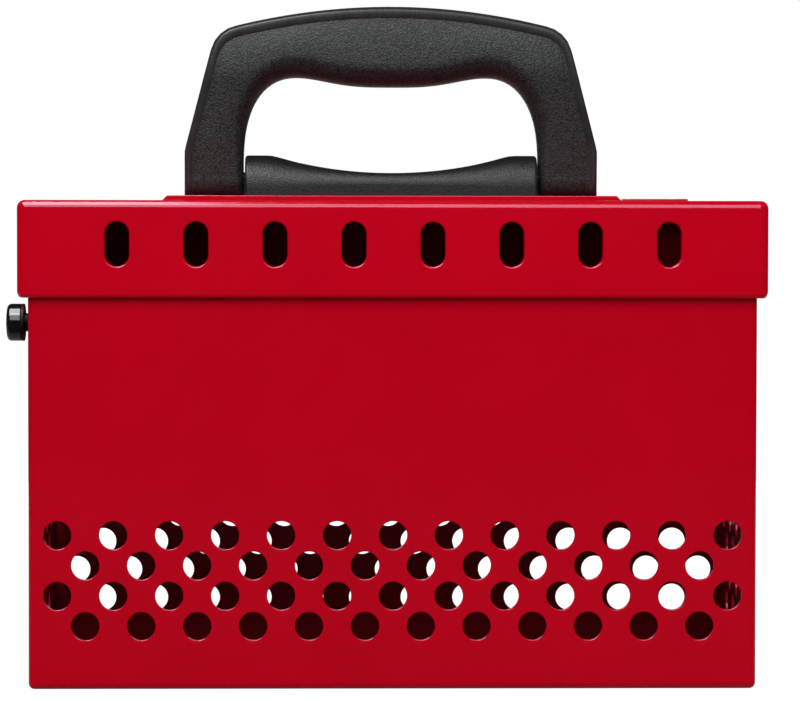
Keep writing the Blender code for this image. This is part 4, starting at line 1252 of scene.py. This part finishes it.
def red_coat(name, deep, light):
    """Satin red powder coat: a faint orange peel, patches of slightly different gloss and depth of colour."""
    tree, shader, place = new_material(name)
    peel = layered(tree, place, (PEEL_WAVES, PEEL_SHARE), (PEEL_FINE, FINE_SHARE))
    set_inputs(tree, shader, {
        "Base Color": patches(tree, place, RED_PATCHES, deep, light),
        "Roughness": layered(tree, place, (RED_CLOUDS, RED_DRIFT), (RED_SPECKS, RED_GLOSS)),
        "Normal": relief(tree, peel, PEEL_DEPTH),
        "Specular IOR Level": RED_SPECULAR,
        "Specular Tint": RED_SPECULAR_TINT,
    })


def pebbled_black(name, light, roughness, specular, depth):
    """Black plastic from a grained mould: fine pebbles, the hollows between them painted darker as painted
    shade.
    """
    tree, shader, place = new_material(name)
    pebbles = layered(tree, place, (PEBBLES, PEBBLE_SHARE), (CLUSTERS, CLUSTER_SHARE))
    set_inputs(tree, shader, {
        # The hollows between the pebbles are painted darker: painted shade
        "Base Color": mix(tree, "RGBA", pebbles, (*PAINTED_SHADE_HOLLOW, 1.0), (*light, 1.0)),
        "Roughness": spread(tree, pebbles, roughness + PEBBLE_WEAR, roughness - PEBBLE_WEAR, 0.0, 1.0),
        "Normal": relief(tree, pebbles, depth),
        "Specular IOR Level": specular,
    })


def plain_finish(name, colours, clouds, marks, roughness, bumps, depth, specular=0.5, metallic=0.0):
    """A material with clouds of colour, marks of gloss and a relief of bumps, each a grain of noise."""
    tree, shader, place = new_material(name)
    set_inputs(tree, shader, {
        "Base Color": patches(tree, place, clouds, *colours),
        "Roughness": spread(tree, noise(tree, place, *marks), *roughness),
        "Normal": relief(tree, noise(tree, place, *bumps), depth),
        "Specular IOR Level": specular,
        "Metallic": metallic,
    })


# Studio


def any_of_rays(tree, *names):
    """1 for rays of the named kinds, 0 for the rest."""
    rays = tree.nodes.new("ShaderNodeLightPath").outputs
    total = rays[names[0]]
    for name in names[1:]:
        total = add_node(tree, "Math", "Value", {0: total, 1: rays[name]}, operation="MAXIMUM")
    return total


def front_to_back(tree, place, reach):
    """Maps how far back a point or a direction lies."""
    return spread(tree, add_node(tree, "SeparateXYZ", "Y", {"Vector": place}), *reach)


def world_light():
    """White behind the object for the camera, a studio dark in front for mirrors, and a soft even fill."""
    world = bpy.data.worlds.new("studio")
    bpy.context.scene.world = world
    world.use_nodes = True
    world.cycles.sampling_method = "NONE"
    tree = world.node_tree
    place = tree.nodes.new("ShaderNodeTexCoord").outputs["Generated"]
    mirror = front_to_back(tree, place, STUDIO_LEVELS)
    lit = mix(tree, "FLOAT", any_of_rays(tree, "Is Glossy Ray"), WORLD_FILL, mirror)
    seen = mix(tree, "FLOAT", any_of_rays(tree, "Is Camera Ray", "Is Transmission Ray"), lit, 1.0)
    set_inputs(tree, tree.nodes["Background"], {"Strength": seen, "Color": WHITE})


def floor_material():
    """Pale floor that shows white where it is lit and keeps the shadow; mirrors see it dim in front."""
    tree, shader, place = new_material("floor_white")
    lit = patches(tree, place, FLOOR_PATCHES, FLOOR_DARK, FLOOR_LIGHT)
    mirrored = front_to_back(tree, place, MIRROR_FLOOR_LEVELS)
    distance = add_node(tree, "VectorMath", "Value", {0: place}, operation="LENGTH")
    seen = any_of_rays(tree, "Is Camera Ray", "Is Transmission Ray")
    set_inputs(tree, shader, {
        "Base Color": mix(tree, "RGBA", any_of_rays(tree, "Is Glossy Ray"), lit, mirrored),
        "Roughness": FLOOR_ROUGHNESS,
        "Specular IOR Level": 0.0,
        "Emission Color": WHITE,
        "Emission Strength": mix(tree, "FLOAT", seen, 0.0, spread(tree, distance, *FLOOR_LEVELS)),
    })


def floor():
    floor_material()
    bm = bmesh.new()
    outline = circle((0, 0), FLOOR_RADIUS, ROUND_SIDES)(0.0)
    bm.faces.new([bm.verts.new((x, y, -FLOOR_DROP)) for x, y in outline])
    linked("floor", bm, ["floor_white"])


def softbox(name, place, aim, size, power, diffuse, glossy):
    data = bpy.data.lights.new(name, "AREA")
    data.shape = "RECTANGLE"
    data.size, data.size_y = size
    data.energy = power
    light = bpy.data.objects.new(name, data)
    bpy.context.scene.collection.objects.link(light)
    light.location = place
    light.rotation_euler = (Vector(aim) - Vector(place)).to_track_quat("-Z", "Y").to_euler()
    light.visible_diffuse = diffuse
    light.visible_glossy = glossy
    light.visible_camera = False


def camera():
    """The photograph's camera, fitted to the box's corners, slots and perforations."""
    data = bpy.data.cameras.new("camera")
    data.sensor_width = SENSOR_WIDTH
    data.lens = SENSOR_WIDTH * FOCAL_PIXELS / IMAGE_WIDTH
    yaw, pitch, roll = (math.radians(angle) for angle in (CAMERA_YAW, CAMERA_PITCH, CAMERA_ROLL))
    turn = Matrix.Rotation(-yaw, 4, "Z") @ Matrix.Rotation(math.pi / 2 - pitch, 4, "X")
    made = bpy.data.objects.new("camera", data)
    bpy.context.scene.collection.objects.link(made)
    made.matrix_world = Matrix.Translation(CAMERA_PLACE) @ turn @ Matrix.Rotation(roll, 4, "Z")
    bpy.context.scene.camera = made


# Assembly


def build_body():
    body_sheet()
    end_wall(-1, "left_end_panel")
    end_wall(1, "right_end_panel")
    hinge_leaf("hinge_body_leaf", -1, "body")
    hinge_rod()
    leaf_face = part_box("hinge_body_leaf")[0].y + HINGE_LEAF
    for i in range(1, LEAF_RIVETS + 1):
        rivet(f"body_leaf_rivet_{i}", "Y", 1, leaf_face, RIVET_RADIUS, "body", "plated_steel")
    for i in range(1, LATCH_RIVETS + 1):
        rivet(f"latch_rivet_{i}", "X", -1, WRAP_LOW.x, LATCH_RIVET_RADIUS, "body", "plated_steel")
    guide_sleeve()


def build_lid():
    lid_sheet()
    key_plate()
    raised_pad()
    base_block()
    hinge_leaf("hinge_lid_leaf", 1, "lid")
    for i in range(1, LEAF_RIVETS + 1):
        rivet(f"lid_leaf_rivet_{i}", "Y", 1, LID_HALF_DEPTH, RIVET_RADIUS, "lid", "red_coat", "red_coat_body")
    for i in range(1, BASE_SCREWS + 1):
        washer(f"base_washer_{i}")
        pan_screw(f"base_screw_{i}", f"base_washer_{i}")
    pivot("pivot_pin_left", -1)
    pivot("pivot_pin_right", 1)


def build_finishes():
    red_coat("red_coat_body", RED_DEEP, RED_LIGHT)
    # The same coat painted lighter for the lid: painted light
    red_coat("red_coat_painted_light_lid", LID_PAINTED_LIGHT_DEEP, LID_PAINTED_LIGHT_PALE)
    # The same coat painted darker for the inside: painted shade
    red_coat("red_coat_painted_shade_inside", INSIDE_PAINTED_SHADE_DEEP, INSIDE_PAINTED_SHADE_PALE)
    pebbled_black("pebbled_black_grip", *GRIP_BLACK)
    # The grip's plastic painted darker for the base: painted shade
    pebbled_black("pebbled_black_painted_shade_base", *BASE_PAINTED_SHADE_BLACK)
    pebbled_black("dull_black", *DULL_BLACK)
    for name, values in PLAIN_FINISHES.items():
        plain_finish(name, **values)


build_finishes()
build_body()
build_lid()
grip_shape()
button_head()
clip_ring()
leaf_spring()
keeper()
floor()
world_light()
for lamp in LAMPS:
    softbox(*lamp)
camera()
bpy.context.scene.view_settings.view_transform = "Standard"
